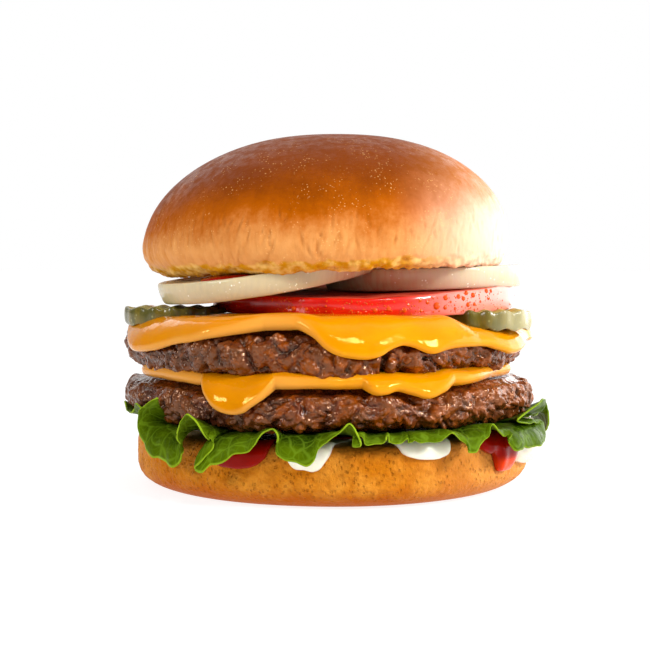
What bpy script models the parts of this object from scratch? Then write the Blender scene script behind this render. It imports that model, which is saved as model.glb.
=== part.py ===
"""A double cheeseburger, with one closed solid for each of its layers.

Metres, +Z up. The front of the burger faces -Y and its right side is +X. The origin lies on the
surface that the burger stands on, under the middle of the whole. An azimuth runs round the
burger from the front towards the right, in degrees where it is typed and in radians in the code.
"""

import math
from functools import partial

import bmesh
import bpy
from mathutils import Euler, Vector, noise

MM = 0.001
GAP = 0.35 * MM  # free space between touching layers
MERGE = 1e-7

# Heel: the bottom half of the bun
HEEL_CENTRE = Vector((-1.5, 0.0)) * MM
HEEL_RADIUS = 54.0 * MM
HEEL_HEIGHT = 15.8 * MM
HEEL_SHOULDER = 2.4 * MM
HEEL_FOOT_RADIUS = 45.5 * MM
HEEL_FOOT_RISE = 6.5 * MM
HEEL_LUMPS = ((2, 0.35 * MM), (5, 0.3 * MM), (9, 0.15 * MM))  # waves round the side and their height

# Sauces: a thin spread on the heel, joined with blobs squeezed out over its edge
SPREAD_RADIUS = 50.5 * MM
SPREAD_THICKNESS = 0.45 * MM
BLOB_DEPTH = 2.7 * MM  # how far a blob stands out in front of the heel's side
BLOB_ROOT = 5.5 * MM  # how far it reaches in over the heel
BLOB_FULLNESS = 0.62  # half the height of the whole drop, as a share of the height left after the cut
# Each blob: its azimuth, and its half width and the height of its lowest point in mm
MAYONNAISE_BLOBS = ((-4, 8.6, 10), (25, 7.4, 12.6), (75, 9.5, 8), (148, 7.5, 11), (256, 8, 10.5))
KETCHUP_BLOBS = ((-23, 7.4, 10.2), (50, 7, 6.8), (211, 7, 10.6))
SKIM = 0.03 * MM  # keeps faces that a Boolean compares out of one plane

# Lettuce
LEAF_THICKNESS = 0.45 * MM
LEAF_ROOT_RADIUS = 51.0 * MM
HIDDEN_LEAF_RADIUS = 40.0 * MM
HIDDEN_LEAF_WAVE = 2.0 * MM
LEAF_END_TURN = 9.0  # degrees over which an end of a leaf goes under the patty
LEAF_RUN_SHARE = 0.8  # the share of the way from root to edge that lies flat
LEAF_STAND = 5.0 * MM  # the most that an edge stands up or hangs down steeply
LEAF_ROWS = (0.0, 0.4, 0.7, 1.0)  # shares of the way from root to edge
LEAF_STEP = 0.02  # share over which a leaf's slope is measured
# Each fold of an edge: its azimuth, and the radius and the height of the edge there in mm
FRONT_LEAF_FOLDS = (
    (-112, 50, 18.2), (-99, 59, 18.6), (-86, 59.8, 15.5), (-72, 60, 13), (-62, 60, 24), (-57, 60, 19),
    (-50, 61, 26), (-44, 60.5, 10), (-38, 61.5, 23.5), (-33, 61.5, 9), (-27, 60, 14), (-21, 59, 15.6),
    (-16, 59, 21), (-12, 58.8, 12.6), (-8, 58.8, 11), (-2, 58.8, 17.6), (3, 58.4, 22), (5, 58, 17),
    (10, 58, 18.6), (17, 58, 18.2), (25, 58.6, 19.4), (32, 60, 13.4), (39, 60, 20.4), (48, 60, 12.8),
    (58, 60.5, 13.4), (69, 60.2, 17.4), (82, 59.5, 14), (96, 58, 18.6), (112, 50, 18.2))
BACK_LEAF_FOLDS = (
    (66, 50, 18.2), (77, 59.5, 18.8), (86, 60, 22), (96, 59.5, 25), (106, 60, 19.4),
    (116, 60, 13.5), (127, 59.5, 20), (137, 60, 11.5), (148, 59.5, 22), (158, 58.6, 17),
    (168, 59, 11.5), (178, 59, 20), (189, 59, 14), (199, 59, 11), (211, 59.5, 21),
    (222, 60, 12.5), (233, 60, 18), (244, 60, 13), (256, 59.8, 22), (265, 59.8, 19.6),
    (274, 60, 23.2), (285, 59.5, 18.8), (296, 50, 18.2))

# Patties
LOWER_PATTY_CENTRE = Vector((-2.3, 0.0)) * MM
LOWER_PATTY_RADIUS = 56.2 * MM
LOWER_PATTY_THICKNESS = 11.0 * MM
LOWER_PATTY_DROOP = 0.9 * MM
LOWER_PATTY_START = 0.9  # shifts the lumps, so the two patties differ
UPPER_PATTY_CENTRE = Vector((-3.2, 0.0)) * MM
UPPER_PATTY_RADIUS = 55.9 * MM
UPPER_PATTY_THICKNESS = 12.3 * MM
UPPER_PATTY_DROOP = 1.6 * MM
UPPER_PATTY_START = 1.6
UPPER_PATTY_ROWS = (0.0, 29.0 * MM, 36.5 * MM, 43.5 * MM)  # across the seats of the pickles
PATTY_EDGE = 6.0 * MM  # how far the rounded edge reaches inwards
PATTY_WIDEST = 0.48  # the share of the thickness below the widest place
PATTY_LUMPS = ((3, 0.5 * MM), (5, 0.45 * MM), (8, 0.35 * MM), (13, 0.3 * MM))
DROOP_POWER = 5.0  # the top stays flat in the middle and falls away near the edge

# Cheese slices: azimuths round the burger, and the height in mm of each slice's hem there
CHEESE_THICKNESS = 1.5 * MM
HEM_THINNING = 0.45  # the share of the thickness lost at the hem
HEM_THIN_LENGTH = 4.0 * MM
HANG_MIDDLE = 0.6  # where a sheet's last row but one lies on its hanging part
ROW_GAP = 0.2 * MM  # between rows that would meet at a sheet's end
HEM_LIFT = 0.7 * MM  # how much further a hanging hem stands off the patty
LOWER_CHEESE_HEM = ((-72, 29.6), (-54, 29.4), (-45, 28.2), (-36, 27.6), (-27, 24.4), (-18, 25.4),
                    (-9, 28.8), (9, 29.6), (18, 28.2), (27, 27), (36, 28.8), (54, 29.6), (90, 29.2),
                    (108, 25), (126, 29.4), (153, 27.6), (180, 29.6), (207, 25), (234, 29.6), (261, 28))
UPPER_CHEESE_HEM = ((-81, 40), (-63, 38.2), (-54, 37.4), (-36, 40.4), (-18, 43), (-9, 42.4), (9, 37),
                    (18, 39), (27, 38), (36, 39.6), (45, 38.8), (54, 36.9), (72, 37.6), (99, 38.6),
                    (117, 42), (135, 37.5), (153, 42), (171, 37), (189, 36.4), (207, 42), (234, 37.6),
                    (261, 41))

# Pickle slices, crinkle cut, pressed into the cheese
PICKLE_WAVE = 0.45 * MM
PICKLE_PITCH = 4.2 * MM
PICKLE_SLAB = 1.2  # the slab's half side, as a share of the radius cut out of it
PICKLE_LUMPS = ((11, 0.012), (2, 0.02))  # waves round the skin, as shares of the radius
LEFT_PICKLE_CENTRE = Vector((-43.3, -17.0)) * MM
LEFT_PICKLE_RADIUS = 13.6 * MM
LEFT_PICKLE_THICKNESS = 4.5 * MM
LEFT_PICKLE_FLOOR = 43.4 * MM
RIGHT_PICKLE_CENTRE = Vector((38.4, -22.5)) * MM
RIGHT_PICKLE_RADIUS = 12.8 * MM
RIGHT_PICKLE_THICKNESS = 4.8 * MM
RIGHT_PICKLE_FLOOR = 41.9 * MM
SEAT_MARGIN = 5.0 * MM
SEAT_SLOPE = 5.0 * MM

# Tomato slice
TOMATO_CENTRE = Vector((8.9, -1.0)) * MM
TOMATO_RADIUS = 40.4 * MM
TOMATO_THICKNESS = 4.8 * MM
TOMATO_LUMPS = ((5, 0.3 * MM), (3, 0.35 * MM))
TOMATO_TILT = Euler((math.radians(1.6), math.radians(-1.2), 0.0))

# Onion slices, the left one lying across the right one and bent up by it
ONION_TAPER = 1.0 * MM
ONION_LUMPS = ((2, 0.3 * MM), (3, 0.25 * MM))
RIGHT_ONION_PLACE = Vector((23.6, -1.0, 54.4)) * MM
RIGHT_ONION_RADIUS = 28.0 * MM
RIGHT_ONION_THICKNESS = 4.0 * MM
RIGHT_ONION_TILT = Euler((math.radians(1.6), math.radians(-2.0), 0.0))
LEFT_ONION_PLACE = Vector((-17.7, -15.0, 54.55)) * MM
LEFT_ONION_RADIUS = 30.0 * MM
LEFT_ONION_THICKNESS = 4.7 * MM
LEFT_ONION_TILT = Euler((math.radians(3.4), math.radians(-9.4), 0.0))
LEFT_ONION_BEND = 1.1 * MM  # how far its left and right ends curl up

# Crown: the top half of the bun
CROWN_PLACE = Vector((-3.9, 0.0, 58.5)) * MM
CROWN_TILT = Euler((0.0, math.radians(-2.0), 0.0))
CROWN_RADIUS = 51.0 * MM
CROWN_EQUATOR = 8.0 * MM
CROWN_DOME = 30.6 * MM
CROWN_FULLNESS = 2.06  # 2 is an ellipse, more is squarer
CROWN_LEAN = 0.05  # how much wider the right side is near the top
CROWN_LIP = 4.6 * MM
CROWN_HOLLOW = 8.2 * MM  # the cut face domes up over the onion
CROWN_HOLLOW_SHARES = (0.94, 0.78, 0.48, 0.0)  # shares of the cut face's radius
CROWN_LUMPS = ((2, 0.006), (3, 0.007))  # waves round the crown, as shares of the radius
CROWN_DENTS = 0.5 * MM
CROWN_DENTS_PER_M = 38.0

QUARTER = 0.5 * math.pi


def smooth_step(low, high, value):
    """0 below low, 1 above high and a smooth rise between them."""
    share = min(1.0, max(0.0, (value - low) / (high - low)))
    return share * share * (3.0 - 2.0 * share)


def between(start, end, steps):
    """Evenly spaced values from start to end, both included."""
    return [start + (end - start) * step / steps for step in range(steps + 1)]


def ripple(azimuth, waves, start):
    """Uneven waves round a circle: waves holds pairs of a count and a height."""
    return sum(height * math.sin(count * azimuth + start * (index + 1.7))
               for index, (count, height) in enumerate(waves))


def turn_of(azimuth):
    """The direction of an azimuth, seen from above."""
    return Vector((math.sin(azimuth), -math.cos(azimuth)))


def around(centre, azimuth, radius, height):
    """The point at an azimuth and a radius from a centre."""
    return Vector((*(centre + turn_of(azimuth) * radius), height))


def placed_on(stops, azimuth):
    """The pair of neighbours in stops that an azimuth lies between, and how far along it is.

    The last stop is followed by the first one, a turn later.
    """
    turn = stops[0][0] + (math.degrees(azimuth) - stops[0][0]) % 360.0
    loop = [*stops, (stops[0][0] + 360.0, *stops[0][1:])]
    index = max(number for number, stop in enumerate(loop[:-1]) if stop[0] <= turn)
    before, after = loop[index], loop[index + 1]
    return before, after, smooth_step(before[0], after[0], turn)


def material_of(name, colour, roughness):
    material = bpy.data.materials.new(name)
    material.use_nodes = True
    shader = material.node_tree.nodes["Principled BSDF"]
    shader.inputs["Base Color"].default_value = (*colour, 1.0)
    shader.inputs["Roughness"].default_value = roughness
    shader.inputs["Metallic"].default_value = 0.0
    return material


def finished(name, mesh_edit, material):
    """Makes the mesh an object with its material, shaded smooth up to sharp edges."""
    mesh = bpy.data.meshes.new(name)
    mesh_edit.to_mesh(mesh)
    mesh_edit.free()
    mesh.shade_smooth()
    mesh.set_sharp_from_angle(angle=math.radians(50.0))
    mesh.materials.append(material)
    layer = bpy.data.objects.new(name, mesh)
    bpy.context.scene.collection.objects.link(layer)
    return layer


def turned(name, rows, segments, material):
    """A closed skin, spun round and then drawn through rows of points.

    A row is a function that takes an azimuth and returns the row's point there. The first row
    and the last one each close the skin in one point. Rows that run the same way are cut into
    triangles the same way, so a layer can follow the one below it exactly.
    """
    mesh_edit = bmesh.new()
    last = len(rows) - 1
    points = [mesh_edit.verts.new((0.0 if number in (0, last) else 1.0, 0.0, -number))
              for number in range(len(rows))]
    lines = [mesh_edit.edges.new(pair) for pair in zip(points, points[1:])]
    bmesh.ops.spin(mesh_edit, geom=points + lines, cent=(0, 0, 0), axis=(0, 0, 1),
                   angle=math.tau, steps=segments, use_merge=True)
    bmesh.ops.remove_doubles(mesh_edit, verts=mesh_edit.verts, dist=MERGE)
    bmesh.ops.recalc_face_normals(mesh_edit, faces=mesh_edit.faces)
    bmesh.ops.triangulate(mesh_edit, faces=mesh_edit.faces, quad_method="FIXED")
    for vertex in mesh_edit.verts:
        row = rows[round(-vertex.co.z)]
        vertex.co = row(math.atan2(vertex.co.x, -vertex.co.y))
    if mesh_edit.calc_volume(signed=True) < 0.0:
        bmesh.ops.reverse_faces(mesh_edit, faces=mesh_edit.faces)
    return finished(name, mesh_edit, material)


class Mound:
    """A round layer with a flat top and a rounded edge, which the layer above it can follow.

    A length is measured over its surface, from the middle of the top outwards and down.
    """

    def __init__(self, centre, radius, top, edge, widest, lumps, start=0.0, droop=0.0, seats=()):
        self.centre = centre
        self.radius = radius
        self.top = top
        self.edge = edge
        self.widest = widest
        self.lumps = lumps
        self.start = start
        self.droop = droop
        self.seats = seats

    def rim(self, azimuth):
        return self.radius + ripple(azimuth, self.lumps, self.start)

    def top_at(self, flat):
        """The height of the top at a place relative to the centre, lower where a seat is pressed in."""
        height = self.top - self.droop * (flat.length / self.radius) ** DROOP_POWER
        for middle, radius, level in self.seats:
            away = (flat + self.centre - middle).length - radius - SEAT_MARGIN
            pressed = 1.0 - smooth_step(0.0, SEAT_SLOPE, away)
            height -= max(0.0, height - level) * pressed
        return height

    def edge_of(self, azimuth):
        """Where the rounded edge starts, the height there and the length of its bend."""
        start = self.rim(azimuth) - self.edge
        height = self.top_at(turn_of(azimuth) * start)
        return start, height, QUARTER * 0.5 * (self.edge + height - self.widest)

    def over(self, azimuth, length, lift):
        """The point at a length, lifted off the surface. Past the widest place it hangs down."""
        start, height, bend_length = self.edge_of(azimuth)
        if length <= start:
            flat_height = self.top_at(turn_of(azimuth) * length)
            return around(self.centre, azimuth, length, flat_height + lift)
        bend = min(1.0, (length - start) / bend_length) * QUARTER
        below = max(0.0, length - start - bend_length)
        radius = start + (self.edge + lift) * math.sin(bend)
        level = self.widest + (height - self.widest + lift) * math.cos(bend) - below
        return around(self.centre, azimuth, radius, level)

    def length_to(self, azimuth, level):
        """The length at which the edge comes down to a level."""
        start, height, bend_length = self.edge_of(azimuth)
        if level < self.widest:
            return start + bend_length + self.widest - level
        drop = min(1.0, (level - self.widest) / (height - self.widest))
        return start + bend_length * math.acos(drop) / QUARTER

    def station(self, azimuth, inner, bends, index):
        """The length of the surface's row of this index: the inner rows, then those of the edge."""
        if index < len(inner):
            return inner[index]
        start, _, bend_length = self.edge_of(azimuth)
        return start + bend_length * (index - len(inner)) / bends

    def top_rows(self, inner, bends):
        """Rows from the middle of the top out to the widest place."""
        def row(index, azimuth):
            return self.over(azimuth, self.station(azimuth, inner, bends, index), 0.0)
        return [partial(row, index) for index in range(len(inner) + bends + 1)]

    def sheet_rows(self, inner, bends, end_of, lift, thickness_of):
        """Rows of a sheet that lies on this mound and hangs over its edge.

        end_of takes an azimuth and returns the sheet's length there. thickness_of takes a length
        and the sheet's length.
        """
        last = len(inner) + bends + 2

        def row(index, outer, azimuth):
            end = end_of(azimuth)
            widest = self.station(azimuth, inner, bends, len(inner) + bends)
            if index == last:
                length = end
            elif index == last - 1:
                length = widest + HANG_MIDDLE * max(0.0, end - widest)
            else:
                length = self.station(azimuth, inner, bends, index)
            length = min(length, end - (last - index) * ROW_GAP) if index else 0.0
            loose = HEM_LIFT * smooth_step(widest - 2.0 * self.edge, widest, length)
            return self.over(azimuth, length, lift + loose + outer * thickness_of(length, end))

        inside = [partial(row, index, 0.0) for index in range(last + 1)]
        outside = [partial(row, index, 1.0) for index in range(last, -1, -1)]
        return inside + outside


# ---------------------------------------------------------------- heel and sauces


def heel_mound(swell=0.0, top=HEEL_HEIGHT):
    """The heel's upper part, or one that is bigger all round and taller."""
    radius = HEEL_RADIUS + swell
    return Mound(HEEL_CENTRE, radius, top, HEEL_SHOULDER, top - HEEL_SHOULDER, HEEL_LUMPS)


def make_heel(material):
    """A flat cut face, an upright side and a rounded foot round a flat base."""
    heel = heel_mound()

    def foot(bend, azimuth):
        rim = heel.rim(azimuth)
        inwards = (rim - HEEL_FOOT_RADIUS) * (1.0 - math.cos(bend))
        return around(heel.centre, azimuth, rim - inwards, HEEL_FOOT_RISE * (1.0 - math.sin(bend)))

    rows = heel.top_rows((0.0,), 2) + [partial(foot, bend) for bend in between(0.0, QUARTER, 3)]
    return turned("bottom_bun", [*rows, partial(middle_of, heel, 0.0)], 36, material)


def middle_of(mound, height, azimuth):
    """The point on a mound's axis at a height, whatever the azimuth."""
    return around(mound.centre, azimuth, 0.0, height)


def combine(target, tool, operation):
    """Joins the tool to the target or cuts it out, and leaves the tool out of the model."""
    tool.hide_render = True
    tool.display_type = "WIRE"
    tool.parent = target
    change = target.modifiers.new(tool.name, "BOOLEAN")
    change.operation = operation
    change.object = tool


def make_blob(name, azimuth, half_width, top, bottom, material):
    """A drop that hangs in front of the heel's side, cut off flat at its top."""
    heel = heel_mound()
    drop = bmesh.new()
    bmesh.ops.create_uvsphere(drop, u_segments=12, v_segments=6, radius=1.0)
    tall = BLOB_FULLNESS * (top - bottom)
    for vertex in drop.verts:
        across, out, up = vertex.co
        side = math.radians(azimuth) + across * half_width / HEEL_RADIUS
        height = min(top, bottom + tall * (1.0 + up))
        depth = BLOB_DEPTH if out < 0.0 else BLOB_ROOT
        vertex.co = around(heel.centre, side, heel.rim(side) - out * depth, height)
    return finished(name, drop, material)


def make_sauce(name, floor, blobs, material):
    """A spread on this floor joined with its blobs, less the room that the heel takes."""
    spread = bmesh.new()
    bmesh.ops.create_cone(spread, cap_ends=True, segments=36, radius1=SPREAD_RADIUS,
                          radius2=SPREAD_RADIUS, depth=SPREAD_THICKNESS + SKIM)
    middle = floor + 0.5 * (SPREAD_THICKNESS - SKIM)
    bmesh.ops.translate(spread, verts=spread.verts, vec=(*HEEL_CENTRE, middle))
    sauce = finished(name, spread, material)
    for number, (azimuth, half_width, bottom) in enumerate(blobs):
        top = floor + SPREAD_THICKNESS - SKIM
        blob = make_blob(f"{name}_blob_{number}", azimuth, half_width * MM, top, bottom * MM,
                         material)
        combine(sauce, blob, "UNION")

    room = heel_mound(GAP, floor)

    def skirt(azimuth):
        return around(room.centre, azimuth, room.rim(azimuth), 0.0)

    rows = [*room.top_rows((0.0,), 3), skirt, partial(middle_of, room, 0.0)]
    combine(sauce, turned(name + "_room", rows, 36, material), "DIFFERENCE")
    return sauce


# ---------------------------------------------------------------- lettuce


def leaf_section(azimuth, share, folds, floor):
    """Radius and height of a leaf's underside, a share of the way from its root to its edge."""
    before, after, along = placed_on(folds, azimuth)
    radius = (before[1] + (after[1] - before[1]) * along) * MM
    height = (before[2] + (after[2] - before[2]) * along) * MM
    first, last = folds[0][0], folds[-1][0]
    turn = first + (math.degrees(azimuth) - first) % 360.0
    shown = smooth_step(first, first + LEAF_END_TURN, turn)
    shown *= 1.0 - smooth_step(last - LEAF_END_TURN, last, turn)
    flat_radius = HIDDEN_LEAF_RADIUS + HIDDEN_LEAF_WAVE * math.sin(3.0 * azimuth)
    radius = flat_radius + (radius - flat_radius) * shown
    height = floor + (height - floor) * shown
    root = min(LEAF_ROOT_RADIUS, 0.85 * radius)
    stand = max(-LEAF_STAND, min(LEAF_STAND, height - floor))
    corners = (Vector((root, floor)), Vector((root + LEAF_RUN_SHARE * (radius - root), floor)),
               Vector((radius, height - stand)), Vector((radius, height)))
    rest = 1.0 - share
    weights = (rest ** 3, 3.0 * rest ** 2 * share, 3.0 * rest * share ** 2, share ** 3)
    return sum((weight * corner for weight, corner in zip(weights, corners)), Vector((0.0, 0.0)))


def make_leaf(name, folds, floor, shown_segments, hidden_segments, material):
    """A leaf under the patty whose frilled edge shows along its folds' azimuths."""
    first, last = math.radians(folds[0][0]), math.radians(folds[-1][0])
    segments = shown_segments + hidden_segments

    def spaced(azimuth):
        """Puts most of the segments where the leaf shows."""
        step = (azimuth % math.tau) / math.tau * segments
        if step <= shown_segments:
            return first + (last - first) * step / shown_segments
        return last + (first + math.tau - last) * (step - shown_segments) / hidden_segments

    def row(share, outer, azimuth):
        azimuth = spaced(azimuth)
        here = leaf_section(azimuth, share, folds, floor)
        run = leaf_section(azimuth, min(1.0, share + LEAF_STEP), folds, floor)
        run -= leaf_section(azimuth, max(0.0, share - LEAF_STEP), folds, floor)
        here += Vector((-run.y, run.x)).normalized() * LEAF_THICKNESS * outer
        return around(Vector((0.0, 0.0)), azimuth, here.x, here.y)

    def middle(height, azimuth):
        return Vector((0.0, 0.0, height))

    inside = [partial(row, share, 0.0) for share in LEAF_ROWS]
    outside = [partial(row, share, 1.0) for share in reversed(LEAF_ROWS)]
    rows = [partial(middle, floor), *inside, *outside, partial(middle, floor + LEAF_THICKNESS)]
    return turned(name, rows, segments, material)


# ---------------------------------------------------------------- patties and cheese


def patty_mound(centre, radius, floor, thickness, start, droop, seats=()):
    return Mound(centre, radius, floor + thickness, PATTY_EDGE, floor + PATTY_WIDEST * thickness,
                 PATTY_LUMPS, start, droop, seats)


def make_patty(name, patty, floor, inner, material):
    """The mound's top and edge, and a rounded lower edge round a flat underside."""
    def below(bend, azimuth):
        radius = patty.rim(azimuth) - PATTY_EDGE * (1.0 - math.cos(bend))
        height = patty.widest - (patty.widest - floor) * math.sin(bend)
        return around(patty.centre, azimuth, radius, height)

    rows = patty.top_rows(inner, 3) + [partial(below, 0.5 * QUARTER), partial(below, QUARTER)]
    return turned(name, [*rows, partial(middle_of, patty, floor)], 40, material)


def make_cheese(name, patty, hem, inner, material):
    """A slice that lies on the patty, bends over its rim and hangs down to its hem."""
    def end_of(azimuth):
        before, after, along = placed_on(hem, azimuth)
        return patty.length_to(azimuth, (before[1] + (after[1] - before[1]) * along) * MM)

    def thickness_of(length, end):
        thinning = HEM_THINNING * smooth_step(end - HEM_THIN_LENGTH, end, length)
        return CHEESE_THICKNESS * (1.0 - thinning)

    return turned(name, patty.sheet_rows(inner, 3, end_of, GAP, thickness_of), 40, material)


# ---------------------------------------------------------------- pickles, tomato and onion


def make_pickle(name, centre, radius, thickness, floor, material):
    """A disc cut out of a crinkled slab, with a furrowed skin."""
    slab = bmesh.new()
    half = radius * PICKLE_SLAB
    stations = between(-half, half, round(2.0 * half / (PICKLE_PITCH / 4.0)))
    crests = [PICKLE_WAVE * math.cos(math.tau * x / PICKLE_PITCH) for x in stations]
    corners = list(zip(stations, crests))
    corners += [(x, crest + thickness) for x, crest in reversed(corners)]
    face = slab.faces.new([slab.verts.new((x, -half, z)) for x, z in corners])
    swept = bmesh.ops.extrude_face_region(slab, geom=[face])
    moved = [item for item in swept["geom"] if isinstance(item, bmesh.types.BMVert)]
    bmesh.ops.translate(slab, verts=moved, vec=(0.0, 2.0 * half, 0.0))
    bmesh.ops.recalc_face_normals(slab, faces=slab.faces)
    pickle = finished(name, slab, material)

    blade = bmesh.new()
    bmesh.ops.create_cone(blade, cap_ends=True, segments=40, radius1=radius, radius2=radius,
                          depth=4.0 * thickness)
    for vertex in blade.verts:
        turn = math.atan2(vertex.co.x, -vertex.co.y)
        vertex.co.xy *= 1.0 + ripple(turn, PICKLE_LUMPS, 0.0)
    combine(pickle, finished(name + "_round", blade, material), "INTERSECT")
    pickle.location = (*centre, floor + PICKLE_WAVE)
    return pickle


def make_slice(name, rings, radius, waves, start, bend, material):
    """A round slice through rings of (share of the radius, height), from its top to its underside.

    bend is how far its left and right ends curl up.
    """
    def row(share, height, azimuth):
        out = share * (radius + ripple(azimuth, waves, start))
        point = around(Vector((0.0, 0.0)), azimuth, out, height)
        point.z += bend * (point.x / radius) ** 2
        return point

    rings = [(0.0, rings[0][1]), *rings, (0.0, rings[-1][1])]
    return turned(name, [partial(row, *ring) for ring in rings], 36, material)


def make_tomato(floor, material):
    """A slice with a rounded skin, whose lowest edge stands on this floor."""
    high = TOMATO_THICKNESS
    rings = ((0.975, high), (0.996, 0.8 * high), (1.0, 0.5 * high), (0.99, 0.2 * high), (0.968, 0.0))
    tomato = make_slice("tomato_slice", rings, TOMATO_RADIUS, TOMATO_LUMPS, 0.7, 0.0, material)
    tomato.rotation_euler = TOMATO_TILT
    rise = TOMATO_RADIUS * math.sin(math.hypot(TOMATO_TILT.x, TOMATO_TILT.y))
    tomato.location = (*TOMATO_CENTRE, floor + rise)
    return tomato


def make_onion(name, place, tilt, radius, thickness, bend, start, material):
    """A slice across an onion: its side tapers, since the onion is a ball there."""
    narrow = 1.0 - ONION_TAPER / radius
    rings = [(0.985, thickness), (1.0, 0.88 * thickness)]
    rings += [(narrow, 0.08 * thickness), (narrow - 0.015, 0.0)]
    if bend:
        rings = [(0.5, thickness), *rings, (0.5, 0.0)]
    onion = make_slice(name, rings, radius, ONION_LUMPS, start, bend, material)
    onion.rotation_euler = tilt
    onion.location = place
    return onion


# ---------------------------------------------------------------- crown


def make_crown(material):
    """A full dome, a rounded skirt and a cut face that domes up over the onion."""
    power = 2.0 / CROWN_FULLNESS
    rings = []
    for bend in between(0.0, QUARTER, 5):
        height = CROWN_EQUATOR + CROWN_DOME * math.cos(bend) ** power
        rings.append((CROWN_RADIUS * math.sin(bend) ** power, height))
    for bend in between(0.0, QUARTER, 3)[1:]:
        height = CROWN_EQUATOR * (1.0 - math.sin(bend))
        rings.append((CROWN_RADIUS - CROWN_LIP * (1.0 - math.cos(bend)), height))
    for share in CROWN_HOLLOW_SHARES:
        rings.append(((CROWN_RADIUS - CROWN_LIP) * share, CROWN_HOLLOW * (1.0 - share ** 3)))

    def row(radius, height, azimuth):
        lean = 1.0 + CROWN_LEAN * height / (CROWN_EQUATOR + CROWN_DOME) * math.sin(azimuth)
        uneven = 1.0 + ripple(azimuth, CROWN_LUMPS, 1.3)
        point = around(Vector((0.0, 0.0)), azimuth, radius * lean * uneven, height)
        if height > CROWN_EQUATOR:
            point.z += noise.noise(point * CROWN_DENTS_PER_M) * CROWN_DENTS
        return point

    crown = turned("top_bun", [partial(row, *ring) for ring in rings], 36, material)
    crown.rotation_euler = CROWN_TILT
    crown.location = CROWN_PLACE
    return crown


def clear_scene():
    for item in list(bpy.data.objects):
        bpy.data.objects.remove(item)


def build():
    clear_scene()
    bread = material_of("bread", (0.78, 0.42, 0.14), 0.45)
    mayonnaise = material_of("mayonnaise", (0.93, 0.89, 0.78), 0.2)
    ketchup = material_of("ketchup", (0.62, 0.05, 0.02), 0.15)
    lettuce = material_of("lettuce", (0.22, 0.46, 0.05), 0.35)
    beef = material_of("beef", (0.19, 0.085, 0.05), 0.35)
    cheese = material_of("cheese", (0.93, 0.52, 0.07), 0.25)
    pickle = material_of("pickle", (0.36, 0.35, 0.12), 0.3)
    tomato = material_of("tomato", (0.78, 0.08, 0.04), 0.15)
    onion = material_of("onion", (0.86, 0.84, 0.72), 0.25)

    make_heel(bread)
    make_sauce("mayonnaise", HEEL_HEIGHT + GAP, MAYONNAISE_BLOBS, mayonnaise)
    make_sauce("ketchup", HEEL_HEIGHT + 2.0 * GAP + SPREAD_THICKNESS, KETCHUP_BLOBS, ketchup)

    leaf_floor = HEEL_HEIGHT + 3.0 * GAP + 2.0 * SPREAD_THICKNESS
    make_leaf("lettuce_front", FRONT_LEAF_FOLDS, leaf_floor, 52, 4, lettuce)
    leaf_floor += LEAF_THICKNESS + GAP
    make_leaf("lettuce_back", BACK_LEAF_FOLDS, leaf_floor, 40, 4, lettuce)

    floor = leaf_floor + LEAF_THICKNESS + GAP
    patty = patty_mound(LOWER_PATTY_CENTRE, LOWER_PATTY_RADIUS, floor, LOWER_PATTY_THICKNESS,
                        LOWER_PATTY_START, LOWER_PATTY_DROOP)
    make_patty("lower_patty", patty, floor, (0.0,), beef)
    make_cheese("lower_cheese", patty, LOWER_CHEESE_HEM, (0.0,), cheese)

    floor = patty.top + 2.0 * GAP + CHEESE_THICKNESS
    under_pickle = CHEESE_THICKNESS + 2.0 * GAP
    seats = ((LEFT_PICKLE_CENTRE, LEFT_PICKLE_RADIUS, LEFT_PICKLE_FLOOR - under_pickle),
             (RIGHT_PICKLE_CENTRE, RIGHT_PICKLE_RADIUS, RIGHT_PICKLE_FLOOR - under_pickle))
    patty = patty_mound(UPPER_PATTY_CENTRE, UPPER_PATTY_RADIUS, floor, UPPER_PATTY_THICKNESS,
                        UPPER_PATTY_START, UPPER_PATTY_DROOP, seats)
    make_patty("upper_patty", patty, floor, UPPER_PATTY_ROWS, beef)
    make_cheese("upper_cheese", patty, UPPER_CHEESE_HEM, UPPER_PATTY_ROWS, cheese)

    make_pickle("pickle_left", LEFT_PICKLE_CENTRE, LEFT_PICKLE_RADIUS, LEFT_PICKLE_THICKNESS,
                LEFT_PICKLE_FLOOR, pickle)
    make_pickle("pickle_right", RIGHT_PICKLE_CENTRE, RIGHT_PICKLE_RADIUS, RIGHT_PICKLE_THICKNESS,
                RIGHT_PICKLE_FLOOR, pickle)

    make_tomato(patty.top + 2.0 * GAP + CHEESE_THICKNESS, tomato)
    make_onion("onion_right", RIGHT_ONION_PLACE, RIGHT_ONION_TILT, RIGHT_ONION_RADIUS,
               RIGHT_ONION_THICKNESS, 0.0, 0.4, onion)
    make_onion("onion_left", LEFT_ONION_PLACE, LEFT_ONION_TILT, LEFT_ONION_RADIUS,
               LEFT_ONION_THICKNESS, LEFT_ONION_BEND, 2.6, onion)
    make_crown(bread)


build()
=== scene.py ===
"""Looks of a double cheeseburger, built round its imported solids.

Metres, +Z up. The front faces -Y and the right side is +X. An azimuth runs round the burger from
the front towards the right. Each layer is a skin spun round and then moved by formulas and noise.
"""

import itertools
import math

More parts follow.
